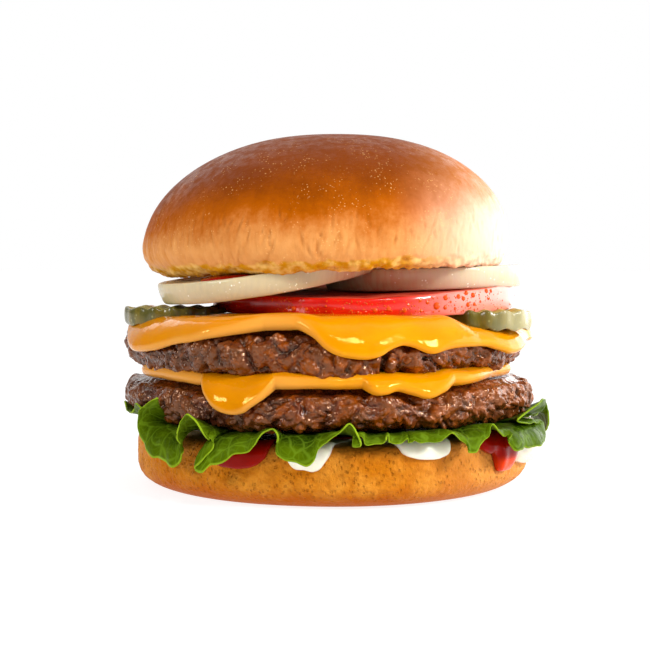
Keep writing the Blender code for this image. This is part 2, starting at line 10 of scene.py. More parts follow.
import bmesh
import bpy
import numpy as np
from bpy.props import FloatProperty, FloatVectorProperty, IntProperty, PointerProperty
from mathutils import Euler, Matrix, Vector


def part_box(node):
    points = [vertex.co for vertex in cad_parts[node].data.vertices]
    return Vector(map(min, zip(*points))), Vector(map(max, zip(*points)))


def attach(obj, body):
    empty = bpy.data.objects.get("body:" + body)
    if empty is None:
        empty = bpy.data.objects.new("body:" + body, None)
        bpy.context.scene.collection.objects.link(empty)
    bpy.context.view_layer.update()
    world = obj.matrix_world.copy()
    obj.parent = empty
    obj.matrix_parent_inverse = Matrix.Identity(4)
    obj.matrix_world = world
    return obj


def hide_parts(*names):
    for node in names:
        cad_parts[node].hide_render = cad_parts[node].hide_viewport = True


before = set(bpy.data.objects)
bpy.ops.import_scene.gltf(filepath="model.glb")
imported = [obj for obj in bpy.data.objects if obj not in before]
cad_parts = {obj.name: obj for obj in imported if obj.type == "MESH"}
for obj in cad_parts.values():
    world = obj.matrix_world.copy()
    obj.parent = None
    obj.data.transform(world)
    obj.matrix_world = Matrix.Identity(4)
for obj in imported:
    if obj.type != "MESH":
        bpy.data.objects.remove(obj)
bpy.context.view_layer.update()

bl_info = {
    "name": "Cheeseburger layers",
    "version": (1, 0, 0),
    "blender": (4, 5, 0),
    "location": "View3D > Sidebar > Burger",
    "description": "Makes the layers of a double cheeseburger and a studio round them",
    "category": "Object",
}

MM = 0.001
QUARTER = 0.5 * math.pi


def linear(red, green, blue):
    """A colour typed as display values from 0 to 255, in linear light."""
    shares = [value / 255.0 for value in (red, green, blue)]
    return tuple(s / 12.92 if s <= 0.04045 else ((s + 0.055) / 1.055) ** 2.4 for s in shares)


def colour(name, description, default):
    return FloatVectorProperty(name=name, description=description, subtype="COLOR", size=3,
                               min=0.0, max=1.0, default=linear(*default))


def length(name, description, default_mm):
    return FloatProperty(name=name, description=description, default=default_mm * MM, min=0.0,
                         unit="LENGTH", subtype="DISTANCE", precision=5)


# ---------------------------------------------------------------- fields


def eased(low, high, value):
    """0 below low, 1 above high and a smooth rise between them."""
    share = np.clip((value - low) / (high - low), 0.0, 1.0)
    return share * share * (3.0 - 2.0 * share)


def scatter(cells, seed):
    """A steady random number from 0 to 1 for each cell of whole numbers."""
    mixed = (cells.astype(np.int64) * np.array((73856093, 19349663, 83492791))).sum(axis=-1)
    mixed = mixed + np.int64(seed) * 668265263
    mixed = (mixed ^ (mixed >> 13)) * 1274126177
    mixed ^= mixed >> 16
    return (mixed & 0xFFFFFF) / float(0xFFFFFF)


def swell(points, size, seed):
    """Smooth noise from -1 to 1 whose hills are about size apart."""
    place = points / size
    cell = np.floor(place)
    rest = place - cell
    blend = rest * rest * rest * (rest * (rest * 6.0 - 15.0) + 10.0)
    total = 0.0
    for corner in itertools.product((0, 1), repeat=3):
        weight = np.prod(np.where(np.array(corner), blend, 1.0 - blend), axis=-1)
        total = total + weight * scatter(cell + corner, seed)
    return 2.0 * total - 1.0


def rough(points, size, seed, octaves=3):
    """Noise with finer noise on it, from about -1 to 1."""
    return sum(swell(points, size / 2.0 ** number, seed + number) / 2.0 ** number
               for number in range(octaves)) / (2.0 - 0.5 ** (octaves - 1))


def pebbles(points, size, seed):
    """Scattered grains about size apart.

    Returns the distance to the nearest one's middle and to the next one's, as shares of size,
    and a random number that belongs to the nearest one.
    """
    place = points / size
    cell = np.floor(place)
    near = np.full(len(points), 9.0)
    following = near.copy()
    mark = np.zeros(len(points))
    for corner in itertools.product((-1, 0, 1), repeat=3):
        other = cell + corner
        middle = other + np.stack([scatter(other, seed + number) for number in range(3)], axis=-1)
        away = np.linalg.norm(place - middle, axis=-1)
        closer = away < near
        following = np.where(closer, near, np.minimum(following, away))
        mark = np.where(closer, scatter(other, seed + 3), mark)
        near = np.where(closer, away, near)
    return near, following, mark


def ripple(azimuth, waves, start):
    """Uneven waves round a circle: waves holds pairs of a count and a height."""
    return sum(height * np.sin(count * azimuth + start * (index + 1.7))
               for index, (count, height) in enumerate(waves))


def around_loop(stops, azimuth):
    """A smooth closed curve through stops of (degrees, value, ...), read at each azimuth."""
    stops = np.array(stops, dtype=float)
    turn = stops[0, 0] + (np.degrees(azimuth) - stops[0, 0]) % 360.0
    shift = np.zeros(stops.shape[1])
    shift[0] = 360.0
    return spline(np.vstack((stops[-2:] - shift, stops, stops[:3] + shift)), turn)


def spline(stops, at):
    """A smooth curve through rows of (place, value, ...), read at each place."""
    place, values = stops[:, 0], stops[:, 1:]
    slope = np.gradient(values, place, axis=0)
    index = np.clip(np.searchsorted(place, at, side="right") - 1, 0, len(place) - 2)
    step = place[index + 1] - place[index]
    share = ((at - place[index]) / step)[:, None]
    rise = values[index + 1] - values[index]
    step = step[:, None]
    cubic = slope[index] * step + slope[index + 1] * step - 2.0 * rise
    square = 3.0 * rise - (2.0 * slope[index] + slope[index + 1]) * step
    found = values[index] + share * (slope[index] * step + share * (square + share * cubic))
    return found[:, 0] if found.shape[1] == 1 else found


# ---------------------------------------------------------------- meshes


def polar(centre, azimuth, radius, height):
    """Points at an azimuth and a radius from a centre."""
    return np.stack((centre[0] + np.sin(azimuth) * radius, centre[1] - np.cos(azimuth) * radius,
                     height + np.zeros_like(azimuth)), axis=-1)


def points_of(piece):
    points = np.empty(len(piece.data.vertices) * 3)
    piece.data.vertices.foreach_get("co", points)
    return points.reshape(-1, 3)


def set_points(piece, points):
    piece.data.vertices.foreach_set("co", np.ascontiguousarray(points).ravel())
    piece.data.update()


def raised(piece, heights):
    """Moves each point along its normal and returns the new points."""
    normals = np.empty(len(piece.data.vertices) * 3)
    piece.data.vertices.foreach_get("normal", normals)
    points = points_of(piece) + normals.reshape(-1, 3) * heights[:, None]
    set_points(piece, points)
    return points


def marked(piece, name, values):
    """Stores a number for each point, which the piece's material reads."""
    layer = piece.data.attributes.new(name, "FLOAT", "POINT")
    layer.data.foreach_set("value", np.asarray(values, dtype=np.float32))


def as_piece(name, mesh_edit, material, slot, *replaced):
    """Makes the mesh a smooth piece that rides on the burger."""
    mesh = bpy.data.meshes.new(name)
    mesh_edit.to_mesh(mesh)
    mesh_edit.free()
    mesh.shade_smooth()
    mesh.materials.append(material)
    piece = bpy.data.objects.new(name, mesh)
    bpy.context.scene.collection.objects.link(piece)
    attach(piece, "root")
    if replaced:
        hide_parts(*replaced)
    return piece


def spun(name, rows, segments, material, slot):
    """A skin bent round from a grid and closed in a point at each end. It replaces its namesake.

    The rows run from the middle of the upper side out to the rim and back below. It returns the
    piece and its points' azimuths and rows.
    """
    mesh_edit = bmesh.new()
    last = rows - 1
    bmesh.ops.create_grid(mesh_edit, x_segments=segments, y_segments=last, size=1.0)
    for vertex in mesh_edit.verts:
        turn = vertex.co.x * math.pi
        row = round(0.5 * (vertex.co.y + 1.0) * last)
        out = 1.0 if 0 < row < last else 0.0
        vertex.co = (out * math.sin(turn), -out * math.cos(turn), -row)
    bmesh.ops.remove_doubles(mesh_edit, verts=mesh_edit.verts, dist=1e-5)
    bmesh.ops.recalc_face_normals(mesh_edit, faces=mesh_edit.faces)
    piece = as_piece(name, mesh_edit, material, slot, name)
    places = points_of(piece)
    return piece, np.arctan2(places[:, 0], -places[:, 1]), np.rint(-places[:, 2]).astype(int)


def turned_by(points, tilt, place):
    """Points tilted about the origin and then moved to a place."""
    return points @ np.array(tilt.to_matrix()).T + np.array(place)


# ---------------------------------------------------------------- materials


class Finish:
    """A material with one Principled shader, and short ways to add nodes to it."""

    def __init__(self, name, **settings):
        self.material = bpy.data.materials.new(name)
        self.material.use_nodes = True
        self.tree = self.material.node_tree
        self.shader = self.tree.nodes["Principled BSDF"]
        self.place = self.add("ShaderNodeTexCoord").outputs["Object"]
        for socket, value in settings.items():
            self.set(socket.replace("_", " "), value)

    def set(self, socket, value):
        self.feed(self.shader.inputs[socket], value)

    def feed(self, socket, value):
        if isinstance(value, bpy.types.NodeSocket):
            self.tree.links.new(value, socket)
        elif socket.type == "RGBA" and len(value) == 3:
            socket.default_value = (*value, 1.0)
        else:
            socket.default_value = value

    def add(self, kind, inputs=None, **settings):
        node = self.tree.nodes.new(kind)
        for name, value in settings.items():
            setattr(node, name, value)
        for name, value in (inputs or {}).items():
            self.feed(node.inputs[name], value)
        return node

    def stretched(self, across, up):
        """Object coordinates scaled for a pattern that is longer one way."""
        inputs = {"Vector": self.place, "Scale": (across, across, up)}
        return self.add("ShaderNodeMapping", inputs).outputs[0]

    def noise(self, size, detail=3.0, vector=None, distortion=0.0, roughness=0.5):
        inputs = {"Vector": vector or self.place, "Scale": 1.0 / size, "Detail": detail,
                  "Distortion": distortion, "Roughness": roughness}
        return self.add("ShaderNodeTexNoise", inputs).outputs["Fac"]

    def grains(self, size, feature="F1", vector=None):
        inputs = {"Vector": vector or self.place, "Scale": 1.0 / size}
        return self.add("ShaderNodeTexVoronoi", inputs, feature=feature).outputs["Distance"]

    def stored(self, name):
        return self.add("ShaderNodeAttribute", attribute_name=name).outputs["Fac"]

    def rightwards(self):
        """How far a point lies to the right of the burger's middle."""
        return self.add("ShaderNodeSeparateXYZ", {"Vector": self.place}).outputs["X"]

    def ranged(self, value, low, high, start=0.0, end=1.0):
        inputs = {"Value": value, "From Min": low, "From Max": high, "To Min": start, "To Max": end}
        return self.add("ShaderNodeMapRange", inputs, interpolation_type="SMOOTHSTEP").outputs[0]

    def math(self, operation, first, second):
        node = self.add("ShaderNodeMath", operation=operation)
        self.feed(node.inputs[0], first)
        self.feed(node.inputs[1], second)
        return node.outputs[0]

    def vectors(self, operation, inputs):
        return self.add("ShaderNodeVectorMath", inputs, operation=operation).outputs[0]

    def plus(self, first, second):
        return self.math("ADD", first, second)

    def times(self, first, second):
        return self.math("MULTIPLY", first, second)

    def shifted(self, value, pattern, most):
        """The value, moved by a pattern from 0 to 1: by nothing where it is a half, by most in all."""
        return self.plus(value, self.times(self.math("SUBTRACT", pattern, 0.5), most))

    def tinted(self, base, tint, value, low, high, start=0.0, end=1.0):
        """The base, which turns into the tint as the value goes from low to high."""
        return self.mixed(self.ranged(value, low, high, start, end), base, tint)

    def mixed(self, share, first, second):
        node = self.add("ShaderNodeMix", data_type="RGBA")
        self.feed(node.inputs[0], share)
        self.feed(node.inputs[6], first)
        self.feed(node.inputs[7], second)
        return node.outputs[2]

    def bumped(self, height, distance, strength):
        inputs = {"Height": height, "Distance": distance, "Strength": strength}
        return self.add("ShaderNodeBump", inputs).outputs[0]


# ---------------------------------------------------------------- layers with a rounded edge


# How far from a seat's rim it is pressed in fully, and not at all
SEAT_SLOPE = (-4.0 * MM, 10.0 * MM)


class Mound:
    """A round layer with a flat top and a rounded edge, which the layer above it can follow.

    A length is measured over its surface, from the middle of the top outwards and down.
    """

    def __init__(self, centre, radius, top, edge, widest, lumps, start=0.0, droop=0.0, seats=()):
        self.centre = centre
        self.radius = radius
        self.top = top
        self.edge = edge
        self.widest = widest
        self.lumps = lumps
        self.start = start
        self.droop = droop
        self.seats = seats

    def rim(self, azimuth):
        return self.radius + ripple(azimuth, self.lumps, self.start)

    def top_at(self, azimuth, radius):
        """The height of the top, lower where a seat is pressed in."""
        height = self.top - self.droop * (radius / self.radius) ** 5.0
        place = polar(self.centre, azimuth, radius, 0.0)
        for middle, reach, level in self.seats:
            away = np.hypot(place[:, 0] - middle[0], place[:, 1] - middle[1]) - reach
            pressed = 1.0 - eased(*SEAT_SLOPE, away)
            height = height - np.maximum(0.0, height - level) * pressed
        return height

    def edge_of(self, azimuth):
        """Where the rounded edge starts, the height there and the length of its bend."""
        start = self.rim(azimuth) - self.edge
        height = self.top_at(azimuth, start)
        return start, height, QUARTER * 0.5 * (self.edge + height - self.widest)

    def over(self, azimuth, length, lift):
        """The points at a length, lifted off the surface. Past the widest place they hang down."""
        start, height, bend_length = self.edge_of(azimuth)
        flat = length <= start
        bend = np.clip((length - start) / bend_length, 0.0, 1.0) * QUARTER
        below = np.maximum(0.0, length - start - bend_length)
        radius = start + (self.edge + lift) * np.sin(bend)
        level = self.widest + (height - self.widest + lift) * np.cos(bend) - below
        top = self.top_at(azimuth, np.minimum(length, start)) + lift
        return polar(self.centre, azimuth, np.where(flat, length, radius), np.where(flat, top, level))

    def length_to(self, azimuth, level, lift=0.0):
        """The length at which something lifted off the edge comes down to a level."""
        start, height, bend_length = self.edge_of(azimuth)
        share = np.clip((level - self.widest) / (height - self.widest + lift), 0.0, 1.0)
        bent = start + bend_length * np.arccos(share) / QUARTER
        return np.where(level < self.widest, start + bend_length + self.widest - level, bent)


HEEL_CENTRE = (-1.5 * MM, 0.0)
HEEL_RADIUS = 54.0 * MM
HEEL_SHOULDER = 2.4 * MM
HEEL_FOOT_RADIUS = 45.5 * MM
HEEL_FOOT_RISE = 6.5 * MM
HEEL_LUMPS = ((2, 0.35 * MM), (5, 0.3 * MM), (9, 0.15 * MM))
HEEL_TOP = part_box("bottom_bun")[1].z
HEEL_SEGMENTS = 840


def heel_mound():
    return Mound(HEEL_CENTRE, HEEL_RADIUS, HEEL_TOP, HEEL_SHOULDER, HEEL_TOP - HEEL_SHOULDER, HEEL_LUMPS)


PATTY_EDGE = 6.0 * MM
PATTY_WIDEST = 0.48
PATTY_SEGMENTS = 1150
PATTY_LUMPS = ((3, 0.5 * MM), (5, 0.45 * MM), (8, 0.35 * MM), (13, 0.3 * MM))
LOWER_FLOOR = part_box("lower_patty")[0].z
LOWER_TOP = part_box("lower_patty")[1].z
UPPER_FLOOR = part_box("upper_patty")[0].z
UPPER_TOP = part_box("upper_patty")[1].z
# Each pickle: its centre, its radius, the height of its underside, and how far below that its seat is
LEFT_PICKLE = ((-43.3 * MM, -17.0 * MM), 13.6 * MM, 43.9 * MM, 0.4 * MM)
RIGHT_PICKLE = ((38.4 * MM, -22.5 * MM), 12.8 * MM, 42.9 * MM, 1.2 * MM)
PICKLE_SEATS = tuple((centre, radius, floor - below)
                     for centre, radius, floor, below in (LEFT_PICKLE, RIGHT_PICKLE))


def lower_mound():
    widest = LOWER_FLOOR + PATTY_WIDEST * (LOWER_TOP - LOWER_FLOOR)
    return Mound((-2.3 * MM, 0.0), 56.2 * MM, LOWER_TOP, PATTY_EDGE, widest, PATTY_LUMPS, start=0.9,
                 droop=0.9 * MM)


def upper_mound():
    widest = UPPER_FLOOR + PATTY_WIDEST * (UPPER_TOP - UPPER_FLOOR)
    return Mound((-3.6 * MM, 0.0), 55.3 * MM, UPPER_TOP, PATTY_EDGE, widest, PATTY_LUMPS, start=1.6,
                 droop=1.6 * MM, seats=PICKLE_SEATS)


# ---------------------------------------------------------------- bread


class BreadSettings(bpy.types.PropertyGroup):
    crust: colour("Crust", "Deep baked top of the crown", (122, 53, 0))
    gold: colour("Gold", "Golden part between top and skirt", (172, 84, 0))
    skirt: colour("Skirt", "Pale stretched side of the crown", (218, 150, 84))
    crumb: colour("Crumb", "Torn crumb along the crown's lower rim", (202, 136, 14))
    cut: colour("Cut face", "Cut faces of both halves of the bun", (244, 222, 172))
    heel: colour("Heel", "Side of the bottom bun", (196, 114, 14))
    heel_light: colour("Heel, lighter", "Lighter patches of the bottom bun", (220, 143, 46))
    heel_foot: colour("Heel foot", "Browner foot of the bottom bun", (186, 90, 8))
    pore_depth: length("Pore depth", "Depth of the small pits in the bottom bun's side", 0.34)
    crease_depth: length("Crease depth", "Depth of the stretched creases in the crown's skirt", 0.5)
    crease_count: IntProperty(name="Creases", description="Creases round the crown's skirt",
                              default=260, min=0, max=600)


SCORCHED = linear(104, 42, 0)
CREAMY_CRUMB = linear(232, 186, 104)
# Painted shade in the pits of the torn rim.
CRUMB_PIT = linear(170, 96, 10)
CREASE_SHADE = linear(190, 112, 40)
# Painted light and painted sheen on the crown's right side.
CROWN_GLOW = linear(250, 150, 50)
CROWN_PALE = linear(250, 226, 208)
CROWN_SPECK = linear(240, 190, 120)
HEEL_UPPER_EDGE = linear(200, 122, 40)
HEEL_GRAIN = linear(176, 92, 16)
# Painted shade in the heel's pores and pits.
HEEL_PORE = linear(150, 72, 8)
# Painted light on the heel's right side.
HEEL_GLOW = linear(240, 164, 92)

CRUST_GLOSS = {
    "Specular_IOR_Level": 0.08,
    "Specular_Tint": (1.0, 0.55, 0.2),
    "Subsurface_Weight": 0.05,
    "Subsurface_Radius": (0.004, 0.002, 0.001),
    "Subsurface_Scale": 1.0,
}

CROWN_PLACE = (-3.9 * MM, 0.0, 58.5 * MM)
CROWN_TILT = Euler((0.0, math.radians(-2.0), 0.0))
CROWN_SEGMENTS = 900
CROWN_RADIUS = 51.0 * MM
CROWN_EQUATOR = 8.0 * MM
CROWN_DOME = 30.0 * MM
CROWN_POWER = 2.0 / 2.06
CROWN_WIDENS = 0.05
CROWN_LIP = 6.0 * MM
CROWN_LIP_LEAN = 3.6 * MM
CROWN_HOLLOW = 8.2 * MM
CROWN_WAVES = ((2, 0.006), (3, 0.007))


def crown_finish(look):
    """Baked crust: brown on top, golden below, pale and stretched in the skirt, torn at the rim, with
    painted light and sheen on its right side and painted shade in the rim's pits.
    """
    finish = Finish("crown_crust", **CRUST_GLOSS)
    up = finish.stored("up")
    patches = finish.noise(11 * MM, 4.0)
    streaks = finish.noise(2.0 * MM, 3.0, finish.stretched(1.0, 0.2))
    leather = finish.noise(1.3 * MM, 5.0, roughness=0.65)
    level = finish.shifted(up, patches, 12 * MM)
    level = finish.shifted(level, streaks, 3 * MM)
    level = finish.shifted(level, leather, 6 * MM)
    skirt = finish.mixed(finish.ranged(streaks, 0.35, 0.7, 0.0, 0.25), look.skirt, look.gold)
    base = finish.mixed(finish.ranged(level, 4 * MM, 16 * MM), skirt, look.gold)
    base = finish.tinted(base, look.crust, level, 11 * MM, 26 * MM)
    dark = finish.ranged(finish.noise(16 * MM, 3.0), 0.35, 0.75, 0.0, 0.5)
    base = finish.mixed(finish.times(dark, finish.ranged(level, 12 * MM, 24 * MM)), base,
                        SCORCHED)
    ragged = finish.plus(up, finish.times(finish.noise(4 * MM, 4.0), -3.6 * MM))
    torn = finish.ranged(ragged, 1.2 * MM, 0.3 * MM)
    clotted = finish.ranged(finish.noise(3.2 * MM, 4.0), 0.42, 0.7)
    crumb = finish.mixed(clotted, look.crumb, CREAMY_CRUMB)
    base = finish.mixed(torn, base, crumb)
    # Painted shade in the pits of the torn rim.
    base = finish.mixed(finish.times(finish.stored("pit"), 0.5), base, CRUMB_PIT)
    base = finish.mixed(finish.times(finish.stored("crease"), 0.4), base, CREASE_SHADE)
    rightwards = finish.rightwards()
    # Painted light: the crust turns lighter towards the right.
    base = finish.tinted(base, CROWN_GLOW, rightwards, 12 * MM, 46 * MM, 0.0, 0.45)
    # Painted sheen: a pale wash on the lower right of the crown.
    pale = finish.times(finish.ranged(rightwards, 12 * MM, 50 * MM, 0.0, 0.8),
                       finish.ranged(level, 28 * MM, 8 * MM))
    base = finish.mixed(pale, base, CROWN_PALE)
    dots = finish.ranged(finish.grains(1.6 * MM), 0.16, 0.1)
    dots = finish.math("MAXIMUM", dots, finish.ranged(finish.grains(0.9 * MM), 0.2, 0.12))
    chosen = finish.ranged(finish.noise(7 * MM, 3.0), 0.42, 0.62, 0.0, 0.4)
    base = finish.mixed(finish.times(dots, chosen), base, CROWN_SPECK)
    base = finish.mixed(finish.stored("cut"), base, look.cut)
    finish.set("Base Color", base)
    dull = finish.noise(2.6 * MM, 5.0, roughness=0.6)
    finish.set("Roughness", finish.ranged(dull, 0.35, 0.65, 0.35, 0.6))
    wrinkles = finish.noise(1.0 * MM, 3.0, finish.stretched(1.0, 0.3))
    wrinkles = finish.times(wrinkles, finish.ranged(level, 16 * MM, 8 * MM, 0.15, 1.0))
    relief = finish.plus(finish.times(leather, 0.7), finish.times(wrinkles, 0.9))
    finish.set("Normal", finish.bumped(relief, 0.3 * MM, 0.5))
    return finish.material


def heel_finish(look):
    """A pored, golden side that browns towards the foot, with a pale cut face, painted shade in its pores
    and pits and painted light on its right side.
    """
    finish = Finish("heel_crust", Roughness=0.5, **CRUST_GLOSS)
    up = finish.stored("up")
    patches = finish.noise(8 * MM, 5.0)
    grain = finish.noise(1.2 * MM, 4.0, roughness=0.6)
    base = finish.mixed(finish.ranged(patches, 0.35, 0.68), look.heel, look.heel_light)
    foot = finish.shifted(up, patches, 6 * MM)
    base = finish.tinted(base, look.heel_foot, foot, 7 * MM, 1.5 * MM)
    base = finish.tinted(base, HEEL_UPPER_EDGE, up, 11 * MM, 15.4 * MM, 0.0, 0.5)
    base = finish.tinted(base, HEEL_GRAIN, grain, 0.35, 0.7, 0.0, 0.4)
    pores = finish.grains(0.95 * MM, vector=finish.stretched(1.0, 0.62))
    chosen = finish.ranged(finish.noise(6 * MM, 3.0), 0.36, 0.58, 0.15, 1.0)
    pores = finish.times(finish.ranged(pores, 0.36, 0.12), chosen)
    pores = finish.times(pores, finish.ranged(up, 1.0 * MM, 4.0 * MM))
    # Painted shade in the pores and the pits.
    base = finish.mixed(finish.times(pores, 0.2), base, HEEL_PORE)
    base = finish.mixed(finish.times(finish.stored("pit"), 0.12), base, HEEL_PORE)
    rightwards = finish.rightwards()
    # Painted light: lighter towards the right.
    base = finish.tinted(base, HEEL_GLOW, rightwards, 10 * MM, 48 * MM, 0.0, 0.4)
    base = finish.mixed(finish.stored("cut"), base, look.cut)
    finish.set("Base Color", base)
    relief = finish.math("SUBTRACT", finish.times(grain, 1.2), finish.times(pores, 0.8))
    finish.set("Normal", finish.bumped(relief, 0.55 * MM, 1.0))
    return finish.material


class BURGER_OT_bottom_bun(bpy.types.Operator):
    """Make the bottom bun, with pores in its side"""

    bl_idname = "burger.bottom_bun"
    bl_label = "Bottom bun"

    def execute(self, context):
        look = context.scene.burger_bread
        top_rows, shoulder_rows, side_rows, foot_rows, base_rows = 6, 6, 26, 16, 5
        rows = top_rows + shoulder_rows + side_rows + foot_rows + base_rows
        heel = heel_mound()
        piece, azimuth, row = spun("bottom_bun", rows, HEEL_SEGMENTS, heel_finish(look), "bread")
        start, _, bend_length = heel.edge_of(azimuth)
        rim = heel.rim(azimuth)
        side = HEEL_TOP - HEEL_SHOULDER - HEEL_FOOT_RISE
        stage = row - top_rows
        length_here = start + bend_length * np.clip(stage / shoulder_rows, 0.0, 1.0)
        length_here += side * np.clip((stage - shoulder_rows) / side_rows, 0.0, 1.0)
        length_here = np.where(stage < 0, start * row / top_rows, length_here)
        points = heel.over(azimuth, length_here, 0.0)
        bend = np.clip((stage - shoulder_rows - side_rows) / foot_rows, 0.0, 1.0) * QUARTER
        foot = rim - (rim - HEEL_FOOT_RADIUS) * (1.0 - np.cos(bend))
        inwards = np.clip((row - rows + 1 + base_rows) / base_rows, 0.0, 1.0)
        below = polar(heel.centre, azimuth, foot * (1.0 - inwards), HEEL_FOOT_RISE * (1.0 - np.sin(bend)))
        points = np.where((bend > 0.0)[:, None], below, points)
        set_points(piece, points)
        upright = eased(1.2 * MM, 4.0 * MM, points[:, 2]) * eased(16.2 * MM, 13.6 * MM, points[:, 2])
        smooth_left = 0.35 + 0.65 * eased(-46 * MM, -22 * MM, points[:, 0])
        near, _, mark = pebbles(points * (1.0, 1.0, 0.62), 1.25 * MM, 11)
        pits = eased(0.55, 0.12, near) * eased(0.1, 0.8, mark)
        near, _, mark = pebbles(points * (1.0, 1.0, 0.45), 2.6 * MM, 23)
        pits = np.maximum(pits, 1.1 * eased(0.22, 0.05, near) * eased(0.7, 0.95, mark))
        pits *= upright * smooth_left
        bulge = 0.5 * MM * np.sin(np.clip(points[:, 2] / HEEL_TOP, 0.0, 1.0) * math.pi)
        heights = bulge * (stage > 0) + 0.35 * MM * rough(points, 12 * MM, 5) * upright
        heights += 0.26 * MM * rough(points, 1.5 * MM, 7, 2) * upright - 0.6 * look.pore_depth * pits
        heights += 0.4 * MM * rough(points, 2.2 * MM, 8) * eased(13.0 * MM, 15.0 * MM, points[:, 2])
        raised(piece, heights * (bend < QUARTER))
        marked(piece, "pit", np.clip(pits, 0.0, 1.0))
        marked(piece, "up", points[:, 2])
        marked(piece, "cut", eased(51 * MM, 46 * MM, length_here) * (bend == 0.0))
        return {"FINISHED"}


class BURGER_OT_top_bun(bpy.types.Operator):
    """Make the shiny crown with its stretched skirt and torn lower rim"""

    bl_idname = "burger.top_bun"
    bl_label = "Top bun"

    def execute(self, context):
        look = context.scene.burger_bread
        dome_rows, lip_rows, hollow_rows = 66, 26, 10
        rows = dome_rows + lip_rows + hollow_rows
        piece, azimuth, row = spun("top_bun", rows, CROWN_SEGMENTS, crown_finish(look), "bread")
        share = np.clip(row / dome_rows, 0.0, 1.0)
        bend = QUARTER * (0.45 * share + 0.55 * (1.0 - (1.0 - share) ** 2))
        radius = CROWN_RADIUS * np.sin(bend) ** CROWN_POWER
        up = CROWN_EQUATOR + CROWN_DOME * np.maximum(0.0, np.cos(bend)) ** CROWN_POWER
        lip = np.clip((row - dome_rows) / lip_rows, 0.0, 1.0) * QUARTER
        inwards = CROWN_LIP - CROWN_LIP_LEAN * np.sin(azimuth)
        radius = np.where(lip > 0.0, CROWN_RADIUS - inwards * (1.0 - np.cos(lip)), radius)
        up = np.where(row >= dome_rows, CROWN_EQUATOR * (1.0 - np.sin(lip)), up)
        share = 1.0 - np.clip((row - dome_rows - lip_rows) / (hollow_rows - 1.0), 0.0, 1.0)
        inside = row > dome_rows + lip_rows
        radius = np.where(inside, (CROWN_RADIUS - inwards) * share, radius)
        up = np.where(inside, CROWN_HOLLOW * (1.0 - share ** 3), up)
        radius *= 1.0 + CROWN_WIDENS * up / (CROWN_EQUATOR + CROWN_DOME) * np.sin(azimuth)
        radius *= 1.0 + ripple(azimuth, CROWN_WAVES, start=1.3)
        points = polar((0.0, 0.0), azimuth, radius, up)
        set_points(piece, points)

        crease = np.zeros(len(points))
        lips = np.zeros(len(points))
        chance = np.random.default_rng(4)
        for _ in range(look.crease_count):
            middle, height, tall, wide, deep, lean = chance.random(6)
            middle = middle * math.tau
            height = (4.0 + 10.5 * height) * MM
            tall = (0.6 + 1.9 * tall ** 2) * MM
            wide = (0.2 + 0.25 * wide) * MM
            across = (azimuth - middle + math.pi) % math.tau - math.pi
            across = across * CROWN_RADIUS + (0.9 * lean - 0.6) * (up - height)
            window = np.exp(-((up - height) / tall) ** 2) * (0.3 + 0.7 * deep)
            crease = np.maximum(crease, window * np.exp(-(across / wide) ** 2))
            lips = np.maximum(lips, window * np.exp(-((across - 2.0 * wide) / (1.2 * wide)) ** 2))
        outside = ~inside
        skirt = eased(20 * MM, 11 * MM, up) * outside
        edge = up + 1.6 * MM * swell(points, 7 * MM, 57)
        torn = eased(3.4 * MM, 2.2 * MM, edge) * outside
        crumbs = rough(points, 2.8 * MM, 31) + 0.4 * swell(points, 1.0 * MM, 32)
        pits = eased(-0.2, -0.8, crumbs) * torn
        heights = 0.5 * MM * swell(points, 26 * MM, 2) * eased(CROWN_EQUATOR, 14 * MM, up)
        heights += 0.1 * MM * rough(points * (1.0, 1.0, 0.4), 3.5 * MM, 9) * skirt
        heights += 0.10 * MM * rough(points, 2.2 * MM, 13, 2) * skirt
        heights += (0.35 * lips - crease) * look.crease_depth * outside
        heights += 0.6 * MM * crumbs * torn
        heights += 0.25 * MM * rough(points, 3 * MM, 19) * inside
        points = raised(piece, heights * (row > 0))
        points[:, 2] -= 0.35 * MM * (rough(points, 5 * MM, 44) + 0.3) * eased(3 * MM, 0.0, up) * outside
        set_points(piece, turned_by(points, CROWN_TILT, CROWN_PLACE))
        marked(piece, "crease", crease * outside)
        marked(piece, "pit", pits)
        marked(piece, "cut", inside)
        marked(piece, "up", np.where(inside, 0.0, up))
        return {"FINISHED"}


# ---------------------------------------------------------------- beef


class BeefSettings(bpy.types.PropertyGroup):
    brown: colour("Brown", "Main colour of the fried mince", (88, 30, 6))
    caramel: colour("Caramel", "Glazed brown patches", (134, 60, 2))
    grey: colour("Grey", "Purplish grey-brown patches", (82, 42, 26))
    # Painted shade: near black in the pits and cracks.
    black: colour("Black", "Charred pits and cracks", (22, 9, 5))
    lump_height: length("Lump height", "Height of the lumps of mince", 1.7)
    crack_depth: length("Crack depth", "Depth of the cracks between lumps", 0.8)


# Painted highlight: lighter towards the right side of the patties.
BEEF_PALE = linear(170, 104, 62)
BEEF_BURNT = linear(44, 17, 8)
# Painted shade low between the lumps.
BEEF_HOLLOW = linear(38, 12, 4)
BEEF_SPECK = linear(40, 12, 4)
# Painted light on the lump tops.
BEEF_HIGH = linear(150, 80, 24)


